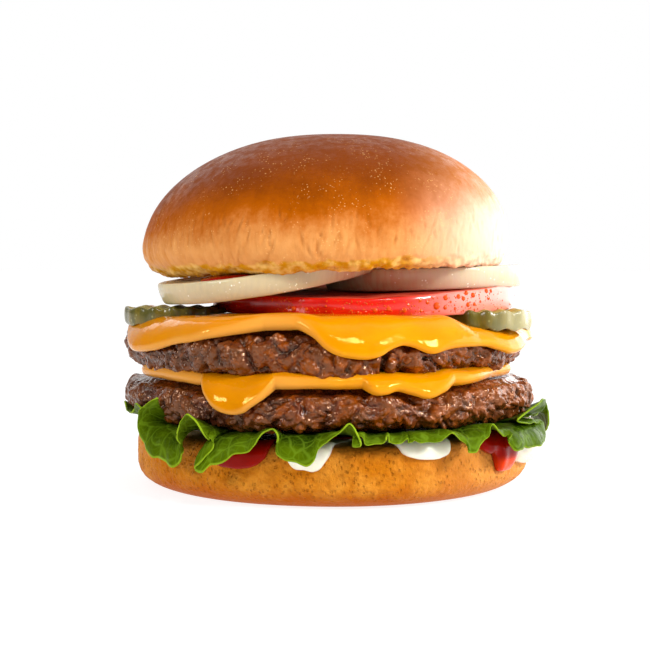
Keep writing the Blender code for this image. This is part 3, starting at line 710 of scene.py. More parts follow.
def beef_finish(look):
    """Fried mince: brown, caramel and grey patches and a wet glaze, with painted shade in its pits, cracks
    and hollows, painted light on the lump tops and the right side, and painted sheen where the grey and
    caramel patches gather.
    """
    finish = Finish("fried_beef", Specular_IOR_Level=0.7, Specular_Tint=(1.0, 0.58, 0.34), Coat_Weight=0.2,
                    Coat_Roughness=0.04)
    rightwards = finish.rightwards()
    patches = finish.noise(8 * MM, 4.0, distortion=0.6)
    glazed = finish.noise(5 * MM, 4.0, finish.stretched(1.0, 1.2), distortion=0.8)
    fine = finish.noise(1.8 * MM, 4.0, roughness=0.6)
    high = finish.stored("high")
    # Painted sheen: the grey patches gather towards the left and the caramel ones towards the middle and
    # right.
    greyed = finish.plus(patches, finish.ranged(rightwards, -30 * MM, 25 * MM, 0.12, -0.2))
    base = finish.mixed(finish.ranged(greyed, 0.44, 0.64), look.brown, look.grey)
    caramel = finish.plus(glazed, finish.ranged(rightwards, -35 * MM, 5 * MM, -0.08, 0.05))
    base = finish.tinted(base, look.caramel, caramel, 0.46, 0.6, 0.0, 0.9)
    # Painted highlight: lighter towards the right side of the patties.
    base = finish.tinted(base, BEEF_PALE, rightwards, 12 * MM, 50 * MM, 0.0, 0.3)
    burnt = finish.ranged(finish.noise(6 * MM, 4.0, distortion=0.5), 0.5, 0.66, 0.0, 0.6)
    base = finish.mixed(burnt, base, BEEF_BURNT)
    # Painted shade low between the lumps.
    base = finish.tinted(base, BEEF_HOLLOW, high, 0.42, 0.1, 0.0, 0.85)
    base = finish.tinted(base, BEEF_SPECK, fine, 0.45, 0.68, 0.0, 0.55)
    # Painted light on the lump tops.
    base = finish.mixed(finish.times(finish.ranged(high, 0.65, 1.0), 0.25), base, BEEF_HIGH)
    # Painted shade in the pits and cracks.
    base = finish.mixed(finish.times(finish.stored("deep"), 0.9), base, look.black)
    finish.set("Base Color", base)
    finish.set("Roughness", finish.ranged(finish.noise(3 * MM, 3.0), 0.35, 0.65, 0.05, 0.17))
    knobs = finish.times(finish.grains(1.5 * MM, "SMOOTH_F1"), 0.6)
    grain = finish.plus(finish.noise(2.2 * MM, 2.5), knobs)
    finish.set("Normal", finish.bumped(grain, 1.0 * MM, 1.0))
    return finish.material


def mince(points, seed, look):
    """How far the mince stands out, how high each point is on its lump, and how deep in a crack."""
    points = points @ np.array(Euler((0.6, 0.5, 0.9)).to_matrix())
    drift = np.stack([swell(points, 4.5 * MM, seed + axis) for axis in range(3)], axis=-1)
    warped = points + 1.3 * MM * drift
    large = np.abs(swell(warped, 6.0 * MM, seed + 10))
    middle = np.abs(swell(warped, 2.9 * MM, seed + 20))
    small = np.abs(swell(warped, 1.4 * MM, seed + 30))
    chosen = eased(-0.1, 0.35, swell(points, 9 * MM, seed + 5))
    near, _, mark = pebbles(points, 4.0 * MM, seed + 40)
    hole = eased(0.28, 0.08, near) * eased(0.6, 0.8, mark)
    tiny = np.abs(swell(warped, 0.95 * MM, seed + 35))
    lumps = 0.8 * large + 0.75 * middle + 0.4 * small + 0.12 * tiny
    crack = 0.45 * np.exp(-large / 0.05) * chosen + 0.3 * np.exp(-middle / 0.05)
    heights = look.lump_height * (lumps - 0.55) + 0.9 * MM * rough(points, 8 * MM, seed + 50, 2)
    heights -= look.crack_depth * (crack + 1.4 * hole)
    return heights, np.clip(1.15 * lumps, 0.0, 1.0), np.clip(crack + hole, 0.0, 1.0)


# Each crack down a patty's side: its azimuth, and its width and depth in mm
LOWER_CRACKS = ((140, 0.9, 2.0), (-150, 0.8, 1.4))
UPPER_CRACKS = ((16.2, 0.8, 2.6), (-120, 0.9, 2.2), (96, 0.8, 1.8))
# Where a patty's underside sags: the azimuth and half width in degrees, and the depth in mm
LOWER_SAG = (0, 30, 0.0)
UPPER_SAG = (4, 11, 3.6)


def make_patty(name, patty, floor, cracks, sag, seed, covered, look):
    """A patty whose edge is lumpy mince. covered takes an azimuth and returns the cheese's hem."""
    top_rows, bend_rows, under_rows, base_rows = 6, 30, 30, 6
    rows = top_rows + bend_rows + under_rows + base_rows
    piece, azimuth, row = spun(name, rows, PATTY_SEGMENTS, beef_finish(look), "beef")
    start, _, bend_length = patty.edge_of(azimuth)
    bent = np.clip((row - top_rows) / bend_rows, 0.0, 1.0)
    out = np.where(row < top_rows, start * row / top_rows, start + bend_length * bent)
    points = patty.over(azimuth, out, 0.0)
    bend = np.clip((row - top_rows - bend_rows) / under_rows, 0.0, 1.0) * QUARTER
    inwards = 1.0 - np.clip((row - rows + 1 + base_rows) / base_rows, 0.0, 1.0)
    radius = (patty.rim(azimuth) - PATTY_EDGE * (1.0 - np.cos(bend))) * inwards
    below = polar(patty.centre, azimuth, radius, patty.widest - (patty.widest - floor) * np.sin(bend))
    middle, half_width, depth = sag
    away = (np.degrees(azimuth) - middle + 180.0) % 360.0 - 180.0
    lowered = depth * MM * np.exp(-(away / half_width) ** 2) * np.sin(bend)
    below[:, 2] -= lowered * eased(25 * MM, 45 * MM, radius)
    below[:, 1] -= 0.5 * lowered * eased(25 * MM, 45 * MM, radius)
    points = np.where((bend > 0.0)[:, None], below, points)
    set_points(piece, points)
    heights, high, deep = mince(points, seed, look)
    for degrees, width, depth in cracks:
        away = (azimuth - math.radians(degrees) + math.pi) % math.tau - math.pi
        away = away * patty.radius + 0.9 * MM * swell(points, 3.5 * MM, seed + 60)
        split = np.exp(-(away / (width * MM)) ** 2)
        heights -= depth * MM * split
        deep = np.maximum(deep, split)
    level = points[:, 2]
    bare = eased(1.5 * MM, -0.5 * MM, level - covered(azimuth))
    bare *= eased(patty.top - 1.0 * MM, patty.top - 2.6 * MM, level)
    heights = np.clip(heights, -2.8 * MM, 1.5 * MM)
    heights = np.where(heights > 0.0, heights * eased(floor - 1.6 * MM, floor + 1.4 * MM, level), heights)
    heights = heights * (0.2 + 0.8 * bare) - 0.7 * MM * (1.0 - bare)
    edge = eased(0.0, 1.0, (row - top_rows) / 6.0) * inwards
    raised(piece, heights * edge)
    marked(piece, "high", np.where(edge > 0.5, high, 0.5))
    marked(piece, "deep", deep * edge)
    return piece


class BURGER_OT_patties(bpy.types.Operator):
    """Make the two fried beef patties"""

    bl_idname = "burger.patties"
    bl_label = "Patties"

    def execute(self, context):
        look = context.scene.burger_beef

        def lower_hem(azimuth):
            return around_loop(LOWER_CHEESE_HEM, azimuth) * MM

        def upper_hem(azimuth):
            return around_loop(UPPER_CHEESE_HEM, azimuth) * MM

        make_patty("lower_patty", lower_mound(), LOWER_FLOOR, LOWER_CRACKS, LOWER_SAG, seed=100,
                   covered=lower_hem, look=look)
        make_patty("upper_patty", upper_mound(), UPPER_FLOOR, UPPER_CRACKS, UPPER_SAG, seed=200,
                   covered=upper_hem, look=look)
        return {"FINISHED"}


# ---------------------------------------------------------------- cheese


class CheeseSettings(bpy.types.PropertyGroup):
    body: colour("Cheese", "Melted processed cheese", (224, 144, 0))
    # This colour is also painted as shade towards the left.
    deep: colour("Deeper cheese", "Cloudy deeper parts of the cheese", (208, 124, 0))
    # Painted reflection: the pale hem stands for the floor's light on the rounded lip.
    pale: colour("Pale cheese", "Dried hem of the cheese", (232, 172, 90))
    thickness: length("Thickness", "Thickness of a slice", 1.6)
    lip: length("Lip", "How much thicker the rounded hem is", 0.6)
    # Painted reflection of the floor on the lip: how much more of it on the left.
    dried: FloatProperty(name="Dried hem", description="How pale the hem is on the left",
                         default=0.6, min=0.0, max=0.85)
    shoulder: length("Shoulder", "How much higher the cheese stands along the patty's edge", 1.5)


CHEESE_SEGMENTS = 720
CHEESE_OVERHANG = 2.6 * MM
# Each hem: azimuths in degrees and the height in mm there
LOWER_CHEESE_HEM = (
    (-80, 32.5), (-72, 31.4), (-63, 30.8), (-58, 31), (-52, 30.9), (-45.5, 30.9), (-40.5, 30.2),
    (-35.5, 30.1), (-31.5, 26.8), (-29, 25.1), (-26, 23.9), (-23, 23.6), (-21, 24.1), (-18.8, 25.6),
    (-15, 28.2), (-13, 30.2), (-10.5, 31.2), (-8, 30.6), (-5, 30.4), (-1, 31.8), (3.8, 32.4),
    (7.5, 30.6), (11, 28.5), (14, 28.4), (17, 28.9), (20.5, 28.3), (24.5, 27.4), (29.5, 28.4),
    (33, 29.6), (38, 30.6), (48, 30.9), (56, 31.2), (66, 31.6), (80, 32.5), (90, 33), (108, 32.4),
    (126, 29.6), (153, 27.6), (180, 29.8), (207, 25.2), (234, 29.8), (250, 31.6), (262, 33),
)
UPPER_CHEESE_HEM = (
    (-96, 45), (-84, 44.5), (-74, 43), (-66, 40), (-60, 37.9), (-51.5, 38.2), (-45, 39.3), (-39, 40.5),
    (-34.5, 41), (-30, 41.8), (-25.5, 42.5), (-21.5, 43.1), (-17.5, 43.7), (-14, 44.2), (-10, 44.5),
    (-6.7, 44), (-2.4, 42.4), (0.5, 40), (4, 38.2), (7.5, 37.5), (11, 37.2), (14, 38.1), (17, 39.5),
    (20, 40.3), (22.5, 39.9), (27.3, 38.4), (31, 39.2), (35.5, 39.8), (40.5, 39.8), (46, 39.6),
    (50, 38.6), (54.5, 37.5), (60, 37.3), (68, 38.3), (76, 39.2), (88, 39.4), (99, 40.8), (117, 42),
    (135, 37.6), (153, 42), (171, 37.2), (189, 36.6), (207, 42), (234, 37.8), (250, 42),
)


def cheese_finish(look):
    """Smooth, wet-looking melted cheese that light sinks into, with painted shade towards the left and a
    painted reflection of the floor along its hem.
    """
    finish = Finish("melted_cheese", Specular_IOR_Level=0.32, Specular_Tint=(1.0, 0.72, 0.2),
                    Subsurface_Weight=0.12, Subsurface_Radius=(0.005, 0.0025, 0.0006),
                    Subsurface_Scale=1.0)
    soft = finish.noise(11 * MM, 3.0, finish.stretched(1.0, 2.2))
    base = finish.mixed(finish.ranged(soft, 0.3, 0.75, 0.0, 0.5), look.body, look.deep)
    rightwards = finish.rightwards()
    # Painted shade: the cheese turns deeper and darker towards the left.
    base = finish.tinted(base, look.deep, rightwards, 10 * MM, -20 * MM, 0.0, 0.6)
    # Painted reflection of the floor along the hem.
    hem = finish.stored("hem")
    base = finish.mixed(finish.times(hem, 0.5), base, look.pale)
    finish.set("Base Color", base)
    finish.set("Roughness", finish.ranged(finish.noise(6 * MM, 3.0), 0.3, 0.7, 0.06, 0.15))
    finish.set("Normal", finish.bumped(finish.noise(4 * MM, 2.0), 0.4 * MM, 0.4))
    return finish.material


def make_cheese(name, patty, hem, bare_left, bare_right, seed, look):
    """A slice lying on a patty, bent over its rim down to a rounded hem.

    bare_left and bare_right are the shares of its overhang that it lacks at the sides.
    """
    flat_rows, bend_rows, hang_rows, lip_rows, back_rows = 14, 26, 12, 10, 12
    outer = flat_rows + bend_rows + hang_rows
    rows = outer + lip_rows + back_rows + 1
    piece, azimuth, row = spun(name, rows, CHEESE_SEGMENTS, cheese_finish(look), "cheese")
    start, _, bend_length = patty.edge_of(azimuth)
    level = around_loop(hem, azimuth) * MM
    sideways = np.sin(azimuth)
    bare = np.where(sideways < 0.0, bare_left, bare_right) * eased(0.6, 0.95, np.abs(sideways))
    overhang = CHEESE_OVERHANG * (0.25 + 0.75 * eased(-0.995, -0.9, sideways)) * (1.0 - bare)
    end = np.maximum(patty.length_to(azimuth, level + 1.2 * MM, 2.0 * MM), start + overhang)
    flat = np.clip(row / flat_rows, 0.0, 1.0)
    turned = np.clip((row - flat_rows) / (outer - flat_rows), 0.0, 1.0)
    out = start * flat ** 0.8 + (end - start) * turned
    round_lip = np.clip((row - outer) / lip_rows, 0.0, 1.0)
    back = np.clip((row - outer - lip_rows) / back_rows, 0.0, 1.0)
    sag = np.clip((end - start - 5.0 * MM) / (8.0 * MM), 0.0, 1.0)
    lip = (look.lip * (0.7 + 0.4 * np.sin(7 * azimuth + seed)) + 0.7 * MM * sag) * eased(
        end - 5.5 * MM, end - 1.0 * MM, out)
    thick = look.thickness + lip + 0.3 * MM * np.sin(5 * azimuth + 2.0 * seed) * eased(start, end, out)
    half = 0.5 * thick
    reach = np.where(row > outer, end + half * np.sin(round_lip * math.pi) * (1.0 - back), out)
    reach = np.where(back > 0.0, end * (1.0 - back), reach)
    loose = 0.7 * MM * eased(start - PATTY_EDGE, start + bend_length, out)
    lift = 0.35 * MM + loose + half + half * np.cos(round_lip * math.pi)
    unrolled = polar((0.0, 0.0), azimuth, 50 * MM, 0.0) + np.array((0, 0, 1)) * out[:, None] * 0.8
    waves = rough(unrolled, 13 * MM, seed, 2)
    lift += 0.55 * MM * waves * eased(start - 12 * MM, start, out) * (1.0 - round_lip)
    inside = np.minimum(out, start)
    level_top = patty.top - patty.droop * (inside / patty.radius) ** 5.0
    free = 1.0 - np.clip((level_top - patty.top_at(azimuth, inside)) / (1.2 * MM), 0.0, 1.0)
    full = eased(start - 22 * MM, start - 5 * MM, out)
    full *= 1.0 - 0.75 * eased(start + 2 * MM, start + 8 * MM, out)
    lift += look.shoulder * free * full * (1.0 - round_lip)
    points = patty.over(azimuth, reach, lift)
    set_points(piece, points)
    hanging = eased(start, start + 3 * MM, out) * (back == 0.0)
    raised(piece, 0.3 * MM * rough(points * (1.0, 1.0, 1.6), 7 * MM, seed + 3, 2) * hanging)
    # Painted reflection of the floor on the rounded lip, strongest on the left.
    dried = 0.15 + look.dried * eased(0.1, -0.25, np.sin(azimuth))
    marked(piece, "hem", dried * eased(end - 0.3 * MM, end + 0.5 * MM, reach) * (back < 0.2))
    return piece


class BURGER_OT_cheese(bpy.types.Operator):
    """Make the two melted cheese slices"""

    bl_idname = "burger.cheese"
    bl_label = "Cheese"

    def execute(self, context):
        look = context.scene.burger_cheese
        make_cheese("lower_cheese", lower_mound(), LOWER_CHEESE_HEM, bare_left=0.4, bare_right=1.0,
                    seed=3, look=look)
        make_cheese("upper_cheese", upper_mound(), UPPER_CHEESE_HEM, bare_left=0.0, bare_right=-0.5,
                    seed=8, look=look)
        return {"FINISHED"}


# ---------------------------------------------------------------- sauces


class SauceSettings(bpy.types.PropertyGroup):
    mayonnaise: colour("Mayonnaise", "Thick white sauce", (255, 248, 226))
    ketchup: colour("Ketchup", "Thick red sauce", (150, 14, 2))
    depth: length("Depth", "How far a blob stands out from the bun", 2.4)


SAUCE_SEGMENTS = 900
SAUCE_ROOT = 38.0 * MM
SAUCE_RIM = 43.0 * MM
SAUCE_LOWEST = 7.0 * MM
SMEAR_SIZE = np.array((8.8, 7.0, 1.2)) * MM
SMEAR_TILT = Euler((0.0, math.radians(-5.0), 0.0))
SMEAR_PLACE = (-26.5 * MM, -35 * MM, 56.7 * MM)
# Each lower outline: azimuths in degrees and the height in mm there. Above the bun's top is none.
MAYONNAISE_HEM = (
    (-40, 19), (-15, 19), (-12.8, 15), (-11, 11.6), (-7, 10.2), (-4.7, 9.9), (-2.9, 10.8), (-1.7, 12.4),
    (-0.4, 14), (1.2, 15), (3.2, 15.6), (5.4, 16.2), (7, 19), (12, 19), (13.6, 17.4), (15.6, 15.6),
    (18, 14), (21.5, 12.7), (25.5, 12.2), (29, 12.4), (31.8, 13.8), (34, 17), (36, 19), (54, 19),
    (57, 13), (60, 9.4), (64, 7.8), (70, 7.2), (76, 7.6), (81, 9.4), (85, 13), (89, 19), (136, 19),
    (140, 14), (147, 11), (153, 12), (158, 19), (246, 19), (250, 12), (256, 10.5), (262, 12), (267, 19),
)
KETCHUP_HEM = (
    (-60, 19), (-36, 19), (-34, 13.5), (-31.5, 10.8), (-28, 10), (-24, 10), (-21, 10.6), (-18.5, 12),
    (-16.8, 14), (-15.2, 19), (0, 19), (36, 19), (40, 16), (42.7, 13.6), (45.3, 12.2), (48, 11.4),
    (49.4, 8), (51.8, 7), (54.8, 7), (57, 9), (58.5, 11.4), (60, 14), (63, 19), (120, 19), (198, 19),
    (203, 13), (209, 10.4), (216, 11.6), (221, 19),
)


# Colours for the drips at the lower right: the mayonnaise's is a warmer tone, the ketchup's is painted
# light.
MAYONNAISE_THIN = linear(255, 232, 206)
KETCHUP_THIN = linear(250, 70, 4)


def sauce_finish(name, base, thin, subsurface):
    """Shiny sauce, with another colour on the drips at the lower right: painted light on the ketchup, a
    warmer tone on the mayonnaise.
    """
    tint = tuple(min(1.0, 1.2 * value + 0.1) for value in base)
    finish = Finish(name, Roughness=0.16, Specular_IOR_Level=0.5, Specular_Tint=tint,
                    Subsurface_Weight=subsurface, Subsurface_Radius=(0.003, 0.002, 0.001),
                    Subsurface_Scale=1.0)
    darker = tuple(0.8 * value for value in base)
    body = finish.mixed(finish.ranged(finish.noise(6 * MM), 0.35, 0.7), tuple(base), darker)
    spot = finish.add("ShaderNodeSeparateXYZ", {"Vector": finish.place}).outputs
    # The lower right drips take the other colour, which on the ketchup is painted light.
    drip = finish.times(finish.ranged(spot["X"], 38 * MM, 44 * MM),
                        finish.ranged(spot["Z"], 12 * MM, 9 * MM))
    finish.set("Base Color", finish.mixed(drip, body, thin))
    finish.set("Normal", finish.bumped(finish.noise(2.5 * MM, 3.0), 0.3 * MM, 0.3))
    return finish.material


def make_sauce(name, floor, hem, depth, most, seed, material):
    """A spread on the heel that swells into blobs which hang over its edge down to an outline.

    most is the azimuth in degrees at which it stands out most, and the share it stands out further.
    """
    squeezed, swollen = most
    heel = heel_mound()
    flat_rows, hang_rows, back_rows = 8, 44, 8
    outer = flat_rows + hang_rows
    piece, azimuth, row = spun(name, outer + back_rows + 1, SAUCE_SEGMENTS, material, name)
    level = np.maximum(around_loop(hem, azimuth) * MM, SAUCE_LOWEST)
    shown = eased(HEEL_TOP + 1.2 * MM, HEEL_TOP - 2.0 * MM, level)
    end = SAUCE_RIM + (heel.length_to(azimuth, level) - SAUCE_RIM) * shown
    down = np.clip((row - flat_rows) / hang_rows, 0.0, 1.0)
    back = np.clip((row - outer) / back_rows, 0.0, 1.0)
    reach = SAUCE_ROOT * np.clip(row / flat_rows, 0.0, 1.0) + (end - SAUCE_ROOT) * np.sin(down * QUARTER)
    reach = reach * (1.0 - back)
    round_off = np.cos(down * QUARTER) ** 0.5
    place = polar((0.0, 0.0), azimuth, HEEL_RADIUS, reach)
    bulge = depth * shown * eased(50 * MM, 55.0 * MM, reach)
    away = (np.degrees(azimuth) - squeezed + 180.0) % 360.0 - 180.0
    bulge = bulge * (1.0 + swollen * np.exp(-(away / 11.0) ** 2))
    bulge = bulge * (1.0 + 0.25 * swell(place, 4.5 * MM, seed))
    lift = (floor - HEEL_TOP) + (0.45 * MM + bulge) * round_off * (back == 0.0)
    set_points(piece, heel.over(azimuth, reach, lift))
    return piece


class BURGER_OT_sauces(bpy.types.Operator):
    """Make the mayonnaise and the ketchup squeezed out over the bottom bun"""

    bl_idname = "burger.sauces"
    bl_label = "Sauces"

    def execute(self, context):
        look = context.scene.burger_sauce
        white = sauce_finish("mayonnaise_sauce", look.mayonnaise, MAYONNAISE_THIN, 0.3)
        red = sauce_finish("ketchup_sauce", look.ketchup, KETCHUP_THIN, 0.08)
        make_sauce("mayonnaise", HEEL_TOP + 0.3 * MM, MAYONNAISE_HEM, look.depth, most=(73.0, 1.7),
                   seed=3, material=white)
        make_sauce("ketchup", HEEL_TOP + 0.8 * MM, KETCHUP_HEM, 0.9 * look.depth, most=(50.0, 0.7),
                   seed=6, material=red)
        edit = bmesh.new()
        bmesh.ops.create_uvsphere(edit, u_segments=64, v_segments=24, radius=1.0)
        smear = as_piece("ketchup_smear", edit, red, "ketchup")
        points = points_of(smear) * SMEAR_SIZE
        points += 0.25 * MM * rough(points, 3 * MM, 4)[:, None]
        set_points(smear, turned_by(points, SMEAR_TILT, SMEAR_PLACE))
        return {"FINISHED"}


# ---------------------------------------------------------------- lettuce


class LettuceSettings(bpy.types.PropertyGroup):
    blade: colour("Blade", "The leaf between its veins", (34, 52, 2))
    # The lighter blade and the rim: a paler thin margin, partly painted light towards the free edge.
    light: colour("Light blade", "Lighter parts of the leaf", (84, 106, 3))
    rim: colour("Rim", "Bright thin edge of the leaf", (150, 178, 36))
    # Painted shade: the leaf near its root, under the patty.
    dark: colour("Dark blade", "The leaf near its root", (18, 40, 2))
    thickness: length("Thickness", "Thickness of a leaf", 0.45)


LEAF_SEGMENTS = 1300
LEAF_ROWS = 26
# The radii at which a leaf's inner edge lies and from which it bends up or down
LEAF_ROOT = 43 * MM
LEAF_BEND = 52 * MM
# Each stop along a leaf's free edge, which winds to and fro: its azimuth, its radius and height in mm
FRONT_EDGE = (
    (-112, 50, 18.2), (-99, 57, 18.6), (-90, 59, 18), (-82, 61, 20), (-77, 62, 23), (-72, 61.6, 21),
    (-67, 60.3, 20.6), (-61, 60.6, 24), (-57, 59.5, 22.6), (-54, 58.5, 21.5), (-50.5, 60, 24.4),
    (-47.5, 61.5, 26.6), (-51, 62.6, 24.6), (-54.3, 62.8, 20.5), (-54.4, 62.4, 16.5), (-52, 61.8, 14),
    (-50, 61.6, 12.3), (-45.5, 61.6, 10.6), (-40.5, 61.5, 10.2), (-39.5, 60.9, 12.5), (-40.5, 61.2, 17),
    (-38.5, 62, 21.5), (-36.2, 62.6, 23.6), (-34.2, 62.6, 22.6), (-31.5, 62, 18.6), (-29.4, 61.8, 15.8),
    (-31.8, 62.4, 12.6), (-34, 62.9, 9.6), (-32.2, 62.9, 9.2), (-30.3, 62, 11), (-27.5, 61, 12.1),
    (-25, 60.5, 13.8), (-21.7, 60, 14.7), (-19.8, 59.9, 16.8), (-17.5, 60.2, 19.8), (-15.4, 60.6, 21.2),
    (-13.9, 60.6, 19.4), (-14.3, 59.9, 17), (-14, 60.6, 15.2), (-12.4, 61, 13.8), (-9.5, 61, 13.2),
    (-7, 61, 12.4), (-5.6, 60.6, 13.6), (-4.7, 60.2, 15.8), (-3.4, 60, 17.2), (-1.2, 60, 18.8),
    (1.2, 60.3, 20.8), (2.5, 60.6, 22.2), (4, 60.7, 20.3), (4.6, 60.9, 16.8), (3.2, 60.2, 17),
    (3.5, 59.2, 18.6), (5.5, 58.8, 18.6), (6.5, 58.8, 17), (8.5, 58.8, 16.9), (10.7, 58.8, 17.2),
    (11.4, 59.2, 19.4), (12.2, 58.8, 17), (15, 58.8, 16.8), (17, 59.2, 17.8), (19.5, 59.6, 17),
    (22, 59.6, 17), (25, 60, 17.8), (27, 60.4, 19), (28.6, 61, 17.8), (30.2, 61.6, 16.6),
    (30.9, 62.3, 14.3), (32.4, 62.3, 14.2), (34, 61.8, 15.6), (37, 61.3, 17.9), (38.6, 61.6, 21.2),
    (40.6, 61.5, 18.6), (42.4, 61.5, 17.4), (44.6, 61.6, 17.9), (43.5, 62, 15.4), (44.4, 62.3, 14),
    (46.9, 62.3, 13.6), (50, 62, 13.4), (56, 61.6, 13.2), (62, 61.4, 13.8), (67, 61.2, 15.6),
    (67.5, 60.8, 17.8), (62.5, 60, 19), (55, 59.2, 19.4), (51.5, 58.8, 20.4), (54.5, 59.4, 22),
    (60, 60.4, 23.8), (65.5, 61, 25), (69.5, 61, 24), (71, 60.4, 21.6), (74, 58.6, 19.6),
    (84, 58, 18.2), (98, 57.6, 17), (112, 50, 18.2),
)
BACK_EDGE = (
    (64, 50, 18.2), (73, 57.5, 19.6), (79, 60, 20.5), (86, 61, 22.4), (85, 61.6, 20), (88, 61.8, 15),
    (95, 61, 12.4), (101, 60.6, 15), (103, 60.2, 20), (107, 60.6, 22.5), (111, 60.4, 18), (109, 61, 13),
    (114, 61.6, 11.5), (121, 61, 13.6), (126, 60.2, 17.6), (130, 60.8, 22), (134, 61, 18),
    (132, 61.4, 13), (137, 61.6, 10.5), (144, 61, 12), (149, 60.4, 17), (152, 61, 23),
    (155, 60.6, 18.6), (160, 60, 16), (164, 61, 12.4), (171, 61.2, 11), (175, 60.4, 16),
    (179, 61, 22.6), (176, 61.8, 18), (182, 61.6, 13.2), (190, 61.2, 12), (196, 60.6, 15),
    (199, 60.2, 20), (203, 61, 22.5), (207, 60.6, 18), (204, 61.2, 13), (210, 61.6, 10.6),
    (218, 61, 12), (223, 60.4, 17), (227, 61, 21.5), (231, 60.6, 16), (229, 61.4, 12.4),
    (235, 61.6, 11), (243, 61, 12.6), (249, 60.2, 18), (253, 61, 23.5), (257, 60.6, 18.4),
    (255, 61.2, 14), (261, 60, 13.4), (267, 57.5, 16.5), (274, 57.5, 19), (279, 57.5, 19.6),
    (283, 57.5, 19), (289, 57.6, 18.6), (296, 50, 18.2),
)


LEAF_VEIN = linear(130, 166, 40)
LEAF_SHADE = linear(40, 66, 2)


def leaf_finish(look):
    """A waxy green leaf with pale veins, puckered between them, and a bright thin rim, with painted shade
    towards its root and on the right, and partly painted light towards its free edge.
    """
    finish = Finish("lettuce_leaf", Specular_IOR_Level=0.04, Specular_Tint=(0.6, 1.0, 0.2),
                    Subsurface_Weight=0.06, Subsurface_Radius=(0.0012, 0.0016, 0.0004),
                    Subsurface_Scale=1.0)
    on_leaf = finish.add("ShaderNodeUVMap", uv_map="leaf").outputs[0]
    warp = finish.add("ShaderNodeTexNoise", {"Vector": on_leaf, "Scale": 120.0, "Detail": 2.0})
    bent = finish.vectors("SUBTRACT", {0: warp.outputs["Color"], 1: (0.5, 0.5, 0.5)})
    bent = finish.vectors("SCALE", {0: bent, "Scale": 4 * MM})
    bent = finish.vectors("ADD", {0: on_leaf, 1: bent})
    net = finish.grains(5.0 * MM, "DISTANCE_TO_EDGE", bent)
    fine_net = finish.grains(1.9 * MM, "DISTANCE_TO_EDGE", bent)
    fine_vein = finish.times(finish.ranged(fine_net, 0.1, 0.02), 0.4)
    vein = finish.math("MAXIMUM", finish.ranged(net, 0.08, 0.01), fine_vein)
    patches = finish.noise(6 * MM, 3.0)
    edge = finish.stored("edge")
    base = finish.mixed(finish.ranged(patches, 0.3, 0.7, 0.0, 0.6), look.blade, look.light)
    # Lighter towards the free edge: partly a paler thin margin, partly painted light where the frill stands
    # out from under the patty.
    base = finish.tinted(base, look.light, edge, 0.62, 1.0, 0.0, 0.7)
    # Painted shade: darker towards the root, under the patty.
    base = finish.tinted(base, look.dark, edge, 0.74, 0.3)
    base = finish.mixed(finish.times(vein, 0.25), base, LEAF_VEIN)
    # Bright rim: a paler thin margin, partly painted light.
    base = finish.tinted(base, look.rim, edge, 0.972, 0.992, 0.0, 0.8)
    rightwards = finish.rightwards()
    base = finish.tinted(base, LEAF_SHADE, rightwards, 25 * MM, 55 * MM, 0.0, 0.3)
    finish.set("Base Color", base)
    pucker = finish.ranged(net, 0.0, 0.45)
    pucker = finish.plus(pucker, finish.times(finish.ranged(fine_net, 0.0, 0.4), 0.35))
    finish.set("Normal", finish.bumped(pucker, 0.4 * MM, 0.5))
    finish.set("Roughness", finish.ranged(patches, 0.3, 0.7, 0.25, 0.42))
    return finish.material


def blurred(values, width):
    """Values along a line, each averaged with its neighbours up to about width places away."""
    reach = np.arange(-2 * width, 2 * width + 1)
    weights = np.exp(-0.5 * (reach / width) ** 2)
    padded = np.pad(values, 2 * width, mode="edge")
    return np.convolve(padded, weights / weights.sum(), mode="valid")


